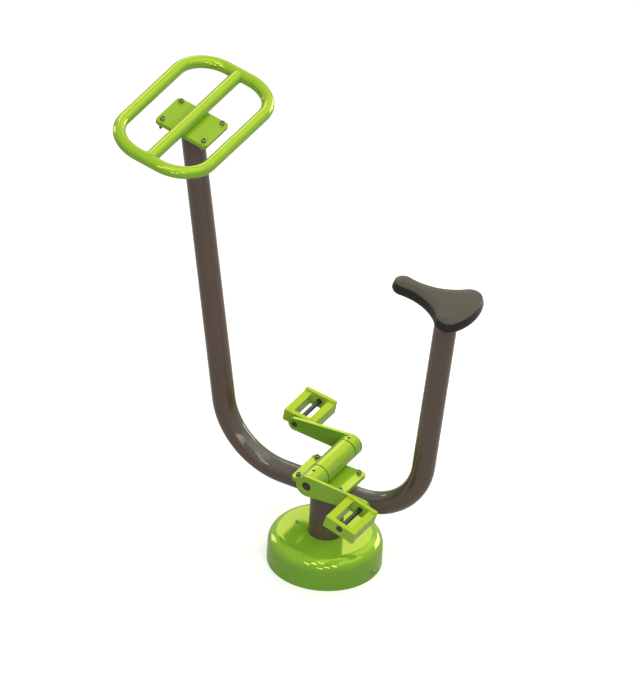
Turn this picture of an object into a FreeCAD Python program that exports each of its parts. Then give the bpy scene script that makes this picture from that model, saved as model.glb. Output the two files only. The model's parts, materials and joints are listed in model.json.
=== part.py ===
"""Outdoor exercise bike: a bent tube on a bolted base, with a handlebar loop, a saddle and a pedal crank.

Millimetres. X points forwards, Y to the rider's left and Z up.
The origin is the centre of the base on the ground.
"""

import FreeCAD, Part
import math
import os
import Sketcher

SIZES = {
    # base on the ground
    "flange_diameter": 260.0,
    "flange_thickness": 12.0,
    "anchor_circle": 200.0,
    "anchor_hole": 18.0,
    "gusset_length": 52.0,
    "gusset_height": 46.0,
    "gusset_thickness": 8.0,
    "gusset_nose": 8.0,
    "pedestal_diameter": 88.9,
    "pedestal_wall": 4.0,
    "pedestal_cap_thickness": 5.0,
    # two-part cover over the base
    "cover_diameter": 297.0,
    "cover_height": 87.0,
    "cover_shoulder": 34.0,
    "cover_wall": 3.0,
    "cover_collar_gap": 1.0,
    "cover_lap_width": 14.0,
    "cover_lap_wall": 3.0,
    "cover_lap_inner": 124.0,
    "cover_lap_outer": 212.0,
    "cover_lap_rise": 34.0,
    "cover_screw_diameter": 4.8,
    "cover_screw_head": 9.5,
    "cover_screw_head_height": 2.8,
    "cover_screw_socket": 3.0,
    "cover_screw_length": 10.0,
    "cover_screw_offset": 7.0,
    "cover_top_screw_reach": 82.0,
    "cover_skirt_screw_height": 20.0,
    # bent main tube
    "tube_diameter": 60.3,
    "tube_wall": 3.0,
    "tube_axis_height": 221.0,
    "bend_radius": 190.0,
    "front_corner_reach": 292.0,
    "rear_corner_reach": 260.0,
    "mast_tilt": 9.68,
    "mast_height": 1177.0,
    "seat_tilt": 5.35,
    "seat_tube_length": 674.0,
    # bolted plates
    "plate_length": 156.0,
    "plate_width": 124.0,
    "plate_corner": 12.0,
    "mount_plate_thickness": 6.0,
    "carrier_plate_thickness": 6.0,
    "bolt_spacing_long": 125.0,
    "bolt_spacing_wide": 95.0,
    "bolt_diameter": 8.0,
    "bolt_hole": 9.0,
    "bolt_length": 30.0,
    "bolt_head": 13.0,
    "bolt_head_height": 8.0,
    "bolt_socket": 6.0,
    "washer_diameter": 16.0,
    "washer_thickness": 1.6,
    "nut_flats": 13.0,
    "nut_height": 6.8,
    "weld_seat": 1.0,
    # handlebar
    "handlebar_tilt": 10.08,
    "bar_diameter": 33.7,
    "bar_wall": 2.6,
    "loop_depth": 261.0,
    "loop_width": 464.0,
    "loop_corner": 98.0,
    # saddle
    "saddle_thickness": 33.0,
    "saddle_nose_reach": 136.0,
    "saddle_nose_radius": 28.0,
    "saddle_lobe_setback": 31.0,
    "saddle_lobe_offset": 56.0,
    "saddle_lobe_radius": 35.0,
    "saddle_waist_radius": 150.0,
    "saddle_rear_radius": 170.0,
    "saddle_edge_radius": 7.0,
    "saddle_crown": 2.5,
    "saddle_crown_inset": 14.0,
    "saddle_tuck": 4.2,
    "saddle_base_inset": 9.0,
    "saddle_base_thickness": 4.0,
    "seat_plate_length": 84.0,
    "seat_plate_width": 64.0,
    "seat_plate_thickness": 6.0,
    "seat_plate_corner": 10.0,
    "seat_bolt_spacing_long": 62.0,
    "seat_bolt_spacing_wide": 42.0,
    "seat_bolt_diameter": 8.0,
    "seat_bolt_flats": 13.0,
    "seat_bolt_head_height": 5.3,
    # crank housing and bearings
    "housing_diameter": 60.3,
    "housing_length": 135.0,
    "housing_offset": -14.5,
    "bearing_diameter": 52.0,
    "bearing_bore": 25.0,
    "bearing_width": 15.0,
    "bearing_setback": 10.0,
    "bearing_shoulder": 3.0,
    "race_shoulder": 2.4,
    "ball_diameter": 7.9,
    "ball_gap": 0.3,
    "cage_wall": 1.8,
    "cage_width": 5.0,
    "circlip_thickness": 2.0,
    "circlip_depth": 1.5,
    "circlip_wall": 4.0,
    "seal_thickness": 6.0,
    "push_fit": 0.02,
    "running_fit": 0.05,
    "free_gap": 0.4,
    # crank
    "crank_spread": 236.0,
    "crank_gap": 2.0,
    "boss_relief": 1.0,
    "crank_length": 167.5,
    "crank_thickness": 10.0,
    "crank_big_end": 60.3,
    "crank_small_end": 37.0,
    "axle_shoulder": 3.0,
    "axle_recess": 1.5,
    "key_width": 8.0,
    "key_height": 7.0,
    "key_depth": 4.0,
    "key_length": 18.0,
    "set_screw_diameter": 8.0,
    "set_screw_recess": 1.0,
    "set_screw_socket": 4.0,
    # pedals
    "left_pedal_tilt": 16.0,
    "right_pedal_tilt": 7.6,
    "pedal_length": 91.0,
    "pedal_width": 117.0,
    "pedal_height": 34.0,
    "left_pedal_gap": 2.0,
    "right_pedal_gap": 11.0,
    "pedal_side": 22.0,
    "pedal_plain_wall": 15.0,
    "pedal_lip_wall": 12.0,
    "pedal_lip_height": 5.5,
    "pedal_edge": 2.0,
    "pedal_spindle_rise": 3.0,
    "pedal_recess_diameter": 19.0,
    "pedal_recess_depth": 3.5,
    "spindle_diameter": 12.0,
    "spindle_thread": 16.0,
    "bush_wall": 2.0,
    "spindle_washer_wall": 2.2,
    "spindle_washer_thickness": 1.0,
    "spindle_clip_thickness": 1.2,
    "spindle_clip_depth": 0.6,
    "spindle_clip_wall": 2.4,
}

BALL_COUNT = 9
ANCHOR_COUNT = 4
CIRCLIP_OPENING = 320.0
FULL_TURN = 360.0

doc = FreeCAD.newDocument("outdoor_exercise_bike")
sheet = doc.addObject("Spreadsheet::Sheet", "Sizes")
parts = {}


class Size:
    """A length or an angle from the sheet: the expression that binds it, and its value now."""

    def __init__(self, text, value):
        self.text = text
        self.value = value

    def __add__(self, other):
        other = as_size(other)
        return Size(f"({self.text} + {other.text})", self.value + other.value)

    def __sub__(self, other):
        other = as_size(other)
        return Size(f"({self.text} - {other.text})", self.value - other.value)

    def __mul__(self, other):
        other = as_size(other)
        return Size(f"({self.text} * {other.text})", self.value * other.value)

    def __truediv__(self, other):
        other = as_size(other)
        return Size(f"({self.text} / {other.text})", self.value / other.value)

    def __neg__(self):
        return Size(f"(0 - {self.text})", -self.value)


def as_size(value):
    """Turns a plain number into a size."""
    return value if isinstance(value, Size) else Size(str(float(value)), float(value))


def sine(angle):
    """The sine of an angle in degrees."""
    return Size(f"sin({angle.text})", math.sin(math.radians(angle.value)))


def cosine(angle):
    """The cosine of an angle in degrees."""
    return Size(f"cos({angle.text})", math.cos(math.radians(angle.value)))


def tangent(angle):
    """The tangent of an angle in degrees."""
    return Size(f"tan({angle.text})", math.tan(math.radians(angle.value)))


def root(size):
    """The square root of a size."""
    return Size(f"sqrt({size.text})", math.sqrt(size.value))


def fill_sheet():
    """Writes the driving dimensions to the sheet and gives each one back as a size."""
    sizes = {}
    for row, (alias, value) in enumerate(SIZES.items(), start=1):
        sheet.set(f"A{row}", alias)
        sheet.set(f"B{row}", str(value))
        sheet.setAlias(f"B{row}", alias)
        sizes[alias] = Size(f"Sizes.{alias}", value)
    doc.recompute()
    return sizes


SIZE = fill_sheet()
NONE = as_size(0.0)


def keep(label, piece):
    """Names a finished sub-part, so that it is written to its own file."""
    piece.Label = label
    parts[label] = piece
    return piece


def place(piece, x=NONE, y=NONE, z=NONE, axis=(0, 1, 0), turn=NONE):
    """Puts a piece at a point, turned about an axis."""
    point = "; ".join(as_size(size).text for size in (x, y, z))
    line = "; ".join(str(number) for number in axis)
    turning = f"rotation(vector({line}); {as_size(turn).text})"
    piece.setExpression("Placement", f"placement(vector({point}); {turning})")
    return piece


def new_body(label):
    """An empty body."""
    return doc.addObject("PartDesign::Body", label)


def plane_of(body, role):
    """One of a body's own planes."""
    return next(feature for feature in body.Origin.OriginFeatures if feature.Role == role)


def new_sketch(body, role, rise=None):
    """A sketch on one of a body's own planes, lifted off it where a rise is given."""
    sketch = body.newObject("Sketcher::SketchObject", f"{body.Name}_sketch")
    sketch.AttachmentSupport = [(plane_of(body, role), "")]
    sketch.MapMode = "FlatFace"
    if rise is not None:
        sketch.setExpression("AttachmentOffset.Base.z", as_size(rise).text)
    return sketch


def pin(sketch, geometry, point, x, y):
    """Holds one point of a sketch at its two distances from the sketch's origin."""
    for kind, size in (("DistanceX", as_size(x)), ("DistanceY", as_size(y))):
        number = sketch.addConstraint(Sketcher.Constraint(kind, geometry, point, size.value))
        sketch.setExpression(f"Constraints[{number}]", size.text)


def circle(sketch, radius, x=NONE, y=NONE):
    """Draws a circle about a point."""
    x, y = as_size(x), as_size(y)
    centre = FreeCAD.Vector(x.value, y.value, 0)
    number = sketch.addGeometry(Part.Circle(centre, FreeCAD.Vector(0, 0, 1), radius.value))
    bound = sketch.addConstraint(Sketcher.Constraint("Radius", number, radius.value))
    sketch.setExpression(f"Constraints[{bound}]", radius.text)
    pin(sketch, number, 3, x, y)


def trace(sketch, corners, bends=None, closed=True):
    """Draws an outline through corners. A bend (x, y, radius) makes the edge after its corner an arc."""
    bends = bends or {}
    corners = [(as_size(x), as_size(y)) for x, y in corners]
    spots = [FreeCAD.Vector(x.value, y.value, 0) for x, y in corners]
    ends = []
    for number in range(len(corners) if closed else len(corners) - 1):
        start, stop = spots[number], spots[(number + 1) % len(spots)]
        if number not in bends:
            edge = sketch.addGeometry(Part.LineSegment(start, stop))
            ends.append((edge, 1, 2))
            continue
        x, y, radius = (as_size(size) for size in bends[number])
        centre = FreeCAD.Vector(x.value, y.value, 0)
        first = math.atan2(start.y - centre.y, start.x - centre.x)
        last = math.atan2(stop.y - centre.y, stop.x - centre.x)
        forwards = (last - first) % (2 * math.pi) < math.pi
        low, high = (first, last) if forwards else (last, first)
        ring = Part.Circle(centre, FreeCAD.Vector(0, 0, 1), radius.value)
        edge = sketch.addGeometry(Part.ArcOfCircle(ring, low, high if high > low else high + 2 * math.pi))
        bound = sketch.addConstraint(Sketcher.Constraint("Radius", edge, radius.value))
        sketch.setExpression(f"Constraints[{bound}]", radius.text)
        ends.append((edge, 1, 2) if forwards else (edge, 2, 1))
    for number, (edge, start, stop) in enumerate(ends):
        pin(sketch, edge, start, *corners[number])
        if closed or number + 1 < len(ends):
            following, its_start, _ = ends[(number + 1) % len(ends)]
            sketch.addConstraint(Sketcher.Constraint("Coincident", edge, stop, following, its_start))
        else:
            pin(sketch, edge, stop, *corners[number + 1])


def pad(body, sketch, length, middle=False):
    """Raises a sketch by a length, or by half of it to each side."""
    feature = body.newObject("PartDesign::Pad", f"{body.Name}_pad")
    feature.Profile = sketch
    feature.setExpression("Length", as_size(length).text)
    if middle:
        feature.SideType = "Symmetric"
    return feature


def pocket(body, sketch, depth=None):
    """Cuts a sketch out of a body, downwards from the sketch, or through it all both ways with no depth."""
    feature = body.newObject("PartDesign::Pocket", f"{body.Name}_pocket")
    feature.Profile = sketch
    if depth is None:
        feature.SideType = "Symmetric"
        feature.Type = "ThroughAll"
    else:
        feature.setExpression("Length", as_size(depth).text)
    return feature


def turned(label, corners, upright=True, bends=None, turn=FULL_TURN):
    """A piece turned about its own Z axis, or about Y, from (radius, distance along the axis) corners."""
    body = new_body(label)
    sketch = new_sketch(body, "XZ_Plane" if upright else "XY_Plane")
    trace(sketch, corners, bends)
    feature = body.newObject("PartDesign::Revolution", f"{label}_turning")
    feature.Profile = sketch
    feature.ReferenceAxis = (sketch, ["V_Axis"])
    feature.Angle = turn
    return body


def ring(label, inner, outer, low, high, upright=True, turn=FULL_TURN):
    """A plain ring, tube or washer between two radii and two ends."""
    corners = [(inner, low), (outer, low), (outer, high), (inner, high)]
    return turned(label, corners, upright, turn=turn)


def rod(label, radius, length, axis, x=NONE, y=NONE, z=NONE):
    """A solid cylinder along X, Y or Z, with its middle at a point."""
    piece = doc.addObject("Part::Cylinder", label)
    piece.setExpression("Radius", as_size(radius).text)
    piece.setExpression("Height", as_size(length).text)
    half = as_size(length) / 2
    if axis == "X":
        return place(piece, as_size(x) - half, y, z, (0, 1, 0), 90)
    if axis == "Y":
        return place(piece, x, as_size(y) + half, z, (1, 0, 0), 90)
    return place(piece, x, y, as_size(z) - half)


def box(label, length, width, height, x=NONE, y=NONE, z=NONE):
    """A block with its middle at a point."""
    piece = doc.addObject("Part::Box", label)
    corner = []
    for name, size, middle in (("Length", length, x), ("Width", width, y), ("Height", height, z)):
        piece.setExpression(name, as_size(size).text)
        corner.append(as_size(middle) - as_size(size) / 2)
    return place(piece, *corner)


def group(label, pieces):
    """Several pieces as one object."""
    made = doc.addObject("Part::Compound", label)
    made.Links = pieces
    return made


def cut(label, base, tools):
    """A base with tools cut out of it."""
    made = doc.addObject("Part::Cut", label)
    made.Base = base
    made.Tool = tools[0] if len(tools) == 1 else group(f"{label}_tools", tools)
    return made


def mirrored(label, piece, normal):
    """A piece together with its mirror image in an upright plane through the origin."""
    image = doc.addObject("Part::Mirroring", f"{label}_image")
    image.Source = piece
    image.Normal = normal
    return group(label, [piece, image])


def at_four_corners(label, piece):
    """Four of a piece at the corners of a rectangle about the Z axis."""
    pair = mirrored(f"{label}_pair", piece, (1, 0, 0))
    return mirrored(label, pair, (0, 1, 0))


def hexagon(sketch, flats):
    """Draws a hexagon by its width across the flats."""
    reach = flats / math.sqrt(3)
    angles = [math.radians(60 * number) for number in range(6)]
    trace(sketch, [(reach * math.cos(angle), reach * math.sin(angle)) for angle in angles])


def hex_pocket(body, flats, depth, top):
    """Sinks a hexagon socket into a body from a height."""
    sketch = new_sketch(body, "XY_Plane", top)
    hexagon(sketch, flats)
    return pocket(body, sketch, depth)


def cap_screw(label, radius, length, head_radius, head_height, socket):
    """A socket head screw, head upwards, with the face under its head at the origin."""
    corners = [(0, -length), (radius, -length), (radius, 0), (head_radius, 0), (head_radius, head_height)]
    body = turned(label, corners + [(0, head_height)])
    hex_pocket(body, socket, head_height / 2, head_height)
    return body


def hex_nut(label, flats, hole_radius, height):
    """A hexagon nut that stands on the origin."""
    body = new_body(label)
    sketch = new_sketch(body, "XY_Plane")
    hexagon(sketch, flats)
    circle(sketch, hole_radius)
    pad(body, sketch, height)
    return body


def rounded_plate(label, length, width, thickness, corner, hole=None, long=None, wide=None):
    """A plate that stands on the origin, with round corners and four holes where they are asked for."""
    body = new_body(label)
    sketch = new_sketch(body, "XY_Plane")
    x, y = length / 2, width / 2
    corners = [(x, corner - y), (x, y - corner), (x - corner, y), (corner - x, y)]
    corners += [(-x, y - corner), (-x, corner - y), (corner - x, -y), (x - corner, -y)]
    bends = {1: (x - corner, y - corner, corner), 3: (corner - x, y - corner, corner)}
    bends.update({5: (corner - x, corner - y, corner), 7: (x - corner, corner - y, corner)})
    trace(sketch, corners, bends)
    for across in (1, -1) if hole is not None else ():
        for along in (1, -1):
            circle(sketch, hole / 2, long / 2 * along, wide / 2 * across)
    pad(body, sketch, thickness)
    return body


def pipe(label, corners, bends, role, radius, wall):
    """A round tube along an open path on one of its own planes."""
    body = new_body(label)
    path = new_sketch(body, role)
    trace(path, corners, bends, closed=False)
    section = body.newObject("Sketcher::SketchObject", f"{label}_section")
    section.AttachmentSupport = [(path, "Edge1")]
    section.MapMode = "NormalToEdge"
    circle(section, radius)
    circle(section, radius - wall)
    feature = body.newObject("PartDesign::AdditivePipe", f"{label}_sweep")
    feature.Profile = section
    feature.Spine = (path, [f"Edge{number + 1}" for number in range(len(corners) - 1)])
    return body


# heights and reaches that several pieces share
tube_radius = SIZE["tube_diameter"] / 2
bar_radius = SIZE["bar_diameter"] / 2
housing_radius = SIZE["housing_diameter"] / 2
pedestal_radius = SIZE["pedestal_diameter"] / 2
cover_radius = SIZE["cover_diameter"] / 2
mount_plate_level = SIZE["tube_axis_height"] + tube_radius - SIZE["weld_seat"]
carrier_plate_level = mount_plate_level + SIZE["mount_plate_thickness"]
crank_height = carrier_plate_level + SIZE["carrier_plate_thickness"] - SIZE["weld_seat"] + housing_radius
mast_rise = SIZE["mast_height"] - SIZE["tube_axis_height"]
mast_reach = mast_rise * tangent(SIZE["mast_tilt"]) + SIZE["front_corner_reach"]
seat_reach = -(SIZE["seat_tube_length"] * sine(SIZE["seat_tilt"]) + SIZE["rear_corner_reach"])
seat_height = SIZE["seat_tube_length"] * cosine(SIZE["seat_tilt"]) + SIZE["tube_axis_height"]
plate_stack = SIZE["mount_plate_thickness"] + SIZE["carrier_plate_thickness"]


def on_mast(piece):
    """Puts a piece drawn about the top of the mast where it belongs."""
    return place(piece, mast_reach, NONE, SIZE["mast_height"], (0, 1, 0), -SIZE["handlebar_tilt"])


def on_seat_tube(piece):
    """Puts a piece drawn about the top of the seat tube where it belongs."""
    return place(piece, seat_reach, NONE, seat_height, (0, 1, 0), -SIZE["seat_tilt"])


def on_main_tube(piece):
    """Puts a piece drawn about the crank plates' underside where it belongs."""
    return place(piece, NONE, NONE, mount_plate_level)


def build_base():
    """The bolted foot: flange, pedestal, the caps beside the tube on its top, and gussets."""
    flange = new_body("base_flange")
    disc = new_sketch(flange, "XY_Plane")
    circle(disc, SIZE["flange_diameter"] / 2)
    pad(flange, disc, SIZE["flange_thickness"])
    hole = new_sketch(flange, "XY_Plane", SIZE["flange_thickness"])
    circle(hole, SIZE["anchor_hole"] / 2, SIZE["anchor_circle"] / 2)
    drilled = pocket(flange, hole, SIZE["flange_thickness"])
    doc.recompute()
    pattern = flange.newObject("PartDesign::PolarPattern", "anchor_holes")
    pattern.Originals = [drilled]
    pattern.Axis = (disc, ["N_Axis"])
    pattern.Angle = FULL_TURN
    pattern.Occurrences = ANCHOR_COUNT
    flange.Tip = pattern
    keep("base_flange", flange)

    post = ring("pedestal_blank", pedestal_radius - SIZE["pedestal_wall"], pedestal_radius,
                SIZE["flange_thickness"], SIZE["tube_axis_height"])
    notch = rod("pedestal_notch", tube_radius, SIZE["pedestal_diameter"] * 2, "X", z=SIZE["tube_axis_height"])
    keep("pedestal_tube", cut("pedestal_tube", post, [notch]))
    lid = rod("pedestal_lid", pedestal_radius - SIZE["pedestal_wall"], SIZE["pedestal_cap_thickness"], "Z",
              z=SIZE["tube_axis_height"] - SIZE["pedestal_cap_thickness"] / 2)
    keep("pedestal_caps", cut("pedestal_caps", lid, [notch]))

    gusset = new_body("gusset")
    side = new_sketch(gusset, "XZ_Plane")
    foot, nose = SIZE["flange_thickness"], SIZE["gusset_nose"]
    tip = pedestal_radius + SIZE["gusset_length"]
    trace(side, [(pedestal_radius, foot), (tip, foot), (tip, foot + nose),
                 (pedestal_radius + nose, foot + SIZE["gusset_height"]),
                 (pedestal_radius, foot + SIZE["gusset_height"])])
    pad(gusset, side, SIZE["gusset_thickness"], middle=True)
    place(gusset, axis=(0, 0, 1), turn=45)
    keep("base_gussets", at_four_corners("base_gussets", gusset))


def cover_half(label, turn):
    """Half of the domed cover: a vertical skirt, a round shoulder and a flat top with a collar hole."""
    wall, shoulder = SIZE["cover_wall"], SIZE["cover_shoulder"]
    top = SIZE["cover_height"]
    collar = pedestal_radius + SIZE["cover_collar_gap"]
    bend_x, bend_z = cover_radius - shoulder, top - shoulder
    corners = [(cover_radius, NONE), (cover_radius, bend_z), (bend_x, top), (collar, top)]
    corners += [(collar, top - wall), (bend_x, top - wall)]
    corners += [(cover_radius - wall, bend_z), (cover_radius - wall, NONE)]
    bends = {1: (bend_x, bend_z, shoulder), 5: (bend_x, bend_z, shoulder - wall)}
    half = turned(label, corners, bends=bends, turn=180.0)
    return place(half, axis=(0, 0, 1), turn=turn)


def build_cover():
    """The cover's two halves. Tabs on the right half reach under the left one and take the screws."""
    wall, top, lap = SIZE["cover_wall"], SIZE["cover_height"], SIZE["cover_lap_width"]
    offset, screw_radius = SIZE["cover_screw_offset"], SIZE["cover_screw_diameter"] / 2
    skirt_level, reach = SIZE["cover_skirt_screw_height"], SIZE["cover_top_screw_reach"]
    top_strip = ring("cover_top_strip", SIZE["cover_lap_inner"] / 2, SIZE["cover_lap_outer"] / 2,
                     top - wall - SIZE["cover_lap_wall"], top - wall)
    skirt_strip = ring("cover_skirt_strip", cover_radius - wall - SIZE["cover_lap_wall"], cover_radius - wall,
                       skirt_level - SIZE["cover_lap_rise"] / 2, skirt_level + SIZE["cover_lap_rise"] / 2)
    band = box("cover_lap_band", SIZE["cover_diameter"], lap * 2, SIZE["cover_height"] * 2)
    tabs = doc.addObject("Part::Common", "cover_tabs")
    tabs.Base = group("cover_strips", [top_strip, skirt_strip])
    tabs.Tool = band
    joined = doc.addObject("Part::MultiFuse", "cover_right_blank")
    joined.Shapes = [cover_half("cover_right_shell", 180), tabs]
    holes = [rod("cover_front_hole", screw_radius, top, "Z", reach, offset, top),
             rod("cover_rear_hole", screw_radius, top, "Z", -reach, offset, top),
             rod("cover_skirt_hole", screw_radius, SIZE["cover_diameter"] * 2, "X", y=offset, z=skirt_level)]
    keep("base_cover_right", cut("base_cover_right", joined, holes))
    keep("base_cover_left", cut("base_cover_left", cover_half("cover_left_shell", 0), holes))

    screws = []
    for name in ("cover_top_screw", "cover_skirt_screw"):
        screws.append(cap_screw(name, screw_radius - SIZE["push_fit"], SIZE["cover_screw_length"],
                                SIZE["cover_screw_head"] / 2, SIZE["cover_screw_head_height"],
                                SIZE["cover_screw_socket"]))
    place(screws[0], reach, offset, top)
    place(screws[1], cover_radius, offset, skirt_level, (0, 1, 0), 90)
    pair = group("cover_screw_pair", screws)
    keep("base_cover_screws", mirrored("base_cover_screws", pair, (1, 0, 0)))


def build_main_tube():
    """The bent tube: seat tube, rear bend, bottom run, front bend and mast, cut square to its top plate."""
    level, bend = SIZE["tube_axis_height"], SIZE["bend_radius"]
    seat_tilt, mast_tilt = SIZE["seat_tilt"], SIZE["mast_tilt"]
    rear, front = -SIZE["rear_corner_reach"], SIZE["front_corner_reach"]
    seat_run = bend * tangent((as_size(90) - seat_tilt) / 2)
    mast_run = bend * tangent((as_size(90) - mast_tilt) / 2)
    mast_length = (SIZE["mast_height"] + SIZE["tube_diameter"] - level) / cosine(mast_tilt)
    corners = [
        (seat_reach, seat_height),
        (rear - seat_run * sine(seat_tilt), level + seat_run * cosine(seat_tilt)),
        (rear + seat_run, level),
        (front - mast_run, level),
        (front + mast_run * sine(mast_tilt), level + mast_run * cosine(mast_tilt)),
        (front + mast_length * sine(mast_tilt), level + mast_length * cosine(mast_tilt)),
    ]
    bends = {1: (rear + seat_run, level + bend, bend), 3: (front - mast_run, level + bend, bend)}
    tube = pipe("main_tube_blank", corners, bends, "XZ_Plane", tube_radius, SIZE["tube_wall"])
    trim = doc.addObject("Part::Cylinder", "mast_trim")
    trim.setExpression("Radius", SIZE["tube_diameter"].text)
    trim.setExpression("Height", (SIZE["tube_diameter"] * 2).text)
    on_mast(trim)
    keep("main_tube", cut("main_tube", tube, [trim]))


def bolted_plate(label, thickness):
    """One of the four plates of the two bolted joints."""
    return rounded_plate(label, SIZE["plate_length"], SIZE["plate_width"], thickness, SIZE["plate_corner"],
                         SIZE["bolt_hole"], SIZE["bolt_spacing_long"], SIZE["bolt_spacing_wide"])


def plate_fasteners(label, put):
    """Four bolts through a pair of plates that stand on the origin, with their washers and nuts."""
    x, y = SIZE["bolt_spacing_long"] / 2, SIZE["bolt_spacing_wide"] / 2
    radius, washer_level = SIZE["bolt_diameter"] / 2, -SIZE["washer_thickness"]
    nut_level = washer_level - SIZE["nut_height"]
    bolt = cap_screw(f"{label}_bolt", radius, SIZE["bolt_length"], SIZE["bolt_head"] / 2,
                     SIZE["bolt_head_height"], SIZE["bolt_socket"])
    washer = ring(f"{label}_washer", radius + SIZE["push_fit"], SIZE["washer_diameter"] / 2,
                  NONE, SIZE["washer_thickness"])
    nut = hex_nut(f"{label}_nut", SIZE["nut_flats"], radius + SIZE["push_fit"], SIZE["nut_height"])
    stack = {"bolts": (bolt, plate_stack), "washers": (washer, washer_level), "nuts": (nut, nut_level)}
    for name, (piece, level) in stack.items():
        place(piece, x, y, level)
        node = f"{label}_{name}"
        keep(node, put(at_four_corners(node, piece)))


def build_handlebar():
    """The mast's top plate and the bolted handlebar: plate, crossbar and loop."""
    keep("mast_top_plate", on_mast(bolted_plate("mast_top_plate", SIZE["mount_plate_thickness"])))
    bar_level = plate_stack - SIZE["weld_seat"] + bar_radius
    blank = bolted_plate("handlebar_plate_blank", SIZE["carrier_plate_thickness"])
    place(blank, z=SIZE["mount_plate_thickness"])
    groove = rod("handlebar_plate_groove", bar_radius, SIZE["plate_width"] * 2, "Y", z=bar_level)
    keep("handlebar_plate", on_mast(cut("handlebar_plate", blank, [groove])))
    plate_fasteners("handlebar", on_mast)

    x, y, corner = SIZE["loop_depth"] / 2, SIZE["loop_width"] / 2, SIZE["loop_corner"]
    corners = [(NONE, y), (x - corner, y), (x, y - corner), (x, corner - y), (x - corner, -y), (NONE, -y)]
    bends = {1: (x - corner, y - corner, corner), 3: (x - corner, corner - y, corner)}
    loop = pipe("handlebar_loop", corners, bends, "XY_Plane", bar_radius, SIZE["bar_wall"])
    doc.recompute()
    whole = loop.newObject("PartDesign::Mirrored", "handlebar_loop_halves")
    whole.Originals = [loop.Tip]
    whole.MirrorPlane = (plane_of(loop, "YZ_Plane"), [""])
    loop.Tip = whole
    tilt = SIZE["handlebar_tilt"]
    loop_reach = mast_reach - bar_level * sine(tilt)
    loop_height = SIZE["mast_height"] + bar_level * cosine(tilt)
    keep("handlebar_loop", place(loop, loop_reach, NONE, loop_height, (0, 1, 0), -tilt))

    bar = ring("handlebar_crossbar_blank", bar_radius - SIZE["bar_wall"], bar_radius, -y, y, upright=False)
    place(bar, z=bar_level)
    copes = [rod(f"crossbar_cope_{side}", bar_radius, SIZE["loop_depth"], "X", y=y * sign, z=bar_level)
             for side, sign in (("left", 1), ("right", -1))]
    keep("handlebar_crossbar", on_mast(cut("handlebar_crossbar", bar, copes)))


def saddle_wire(inset, level):
    """The saddle's outline in plan, drawn in by an inset: nose, two hollow flanks, two lobes and the rear."""
    nose = FreeCAD.Vector(SIZES["saddle_nose_reach"], 0, level)
    lobe = FreeCAD.Vector(-SIZES["saddle_lobe_setback"], SIZES["saddle_lobe_offset"], level)
    nose_radius, lobe_radius = SIZES["saddle_nose_radius"], SIZES["saddle_lobe_radius"]
    waist_radius, rear_radius = SIZES["saddle_waist_radius"], SIZES["saddle_rear_radius"]
    gap = nose.distanceToPoint(lobe)
    near, far = nose_radius + waist_radius, lobe_radius + waist_radius
    along = (near ** 2 - far ** 2 + gap ** 2) / (2 * gap)
    aside = math.sqrt(near ** 2 - along ** 2)
    line = (lobe - nose) / gap
    waist = nose + line * along + FreeCAD.Vector(line.y, -line.x, 0) * aside
    rear_reach = math.sqrt((rear_radius - lobe_radius) ** 2 - lobe.y ** 2)
    rear = FreeCAD.Vector(lobe.x + rear_reach, 0, level)

    def meeting(centre, other, radius):
        """The point of a circle about centre that lies towards other."""
        return centre + (other - centre).normalize() * radius

    def arc(centre, first, last, radius):
        """The short arc about a centre between two points."""
        middle = meeting(centre, (first + last) / 2, radius)
        return Part.Arc(first, middle, last).toShape()

    small, big, hollow = nose_radius - inset, rear_radius - inset, waist_radius + inset
    tip = nose + FreeCAD.Vector(small, 0, 0)
    flank_front = meeting(nose, waist, small)
    flank_rear = meeting(lobe, waist, lobe_radius - inset)
    lobe_end = lobe + (lobe - rear).normalize() * (lobe_radius - inset)
    back = rear - FreeCAD.Vector(big, 0, 0)
    half = [arc(nose, tip, flank_front, small), arc(waist, flank_front, flank_rear, hollow),
            arc(lobe, flank_rear, lobe_end, lobe_radius - inset), arc(rear, lobe_end, back, big)]
    whole = half + [edge.mirror(FreeCAD.Vector(), FreeCAD.Vector(0, 1, 0)) for edge in reversed(half)]
    return Part.Wire(Part.__sortEdges__(whole))


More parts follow.
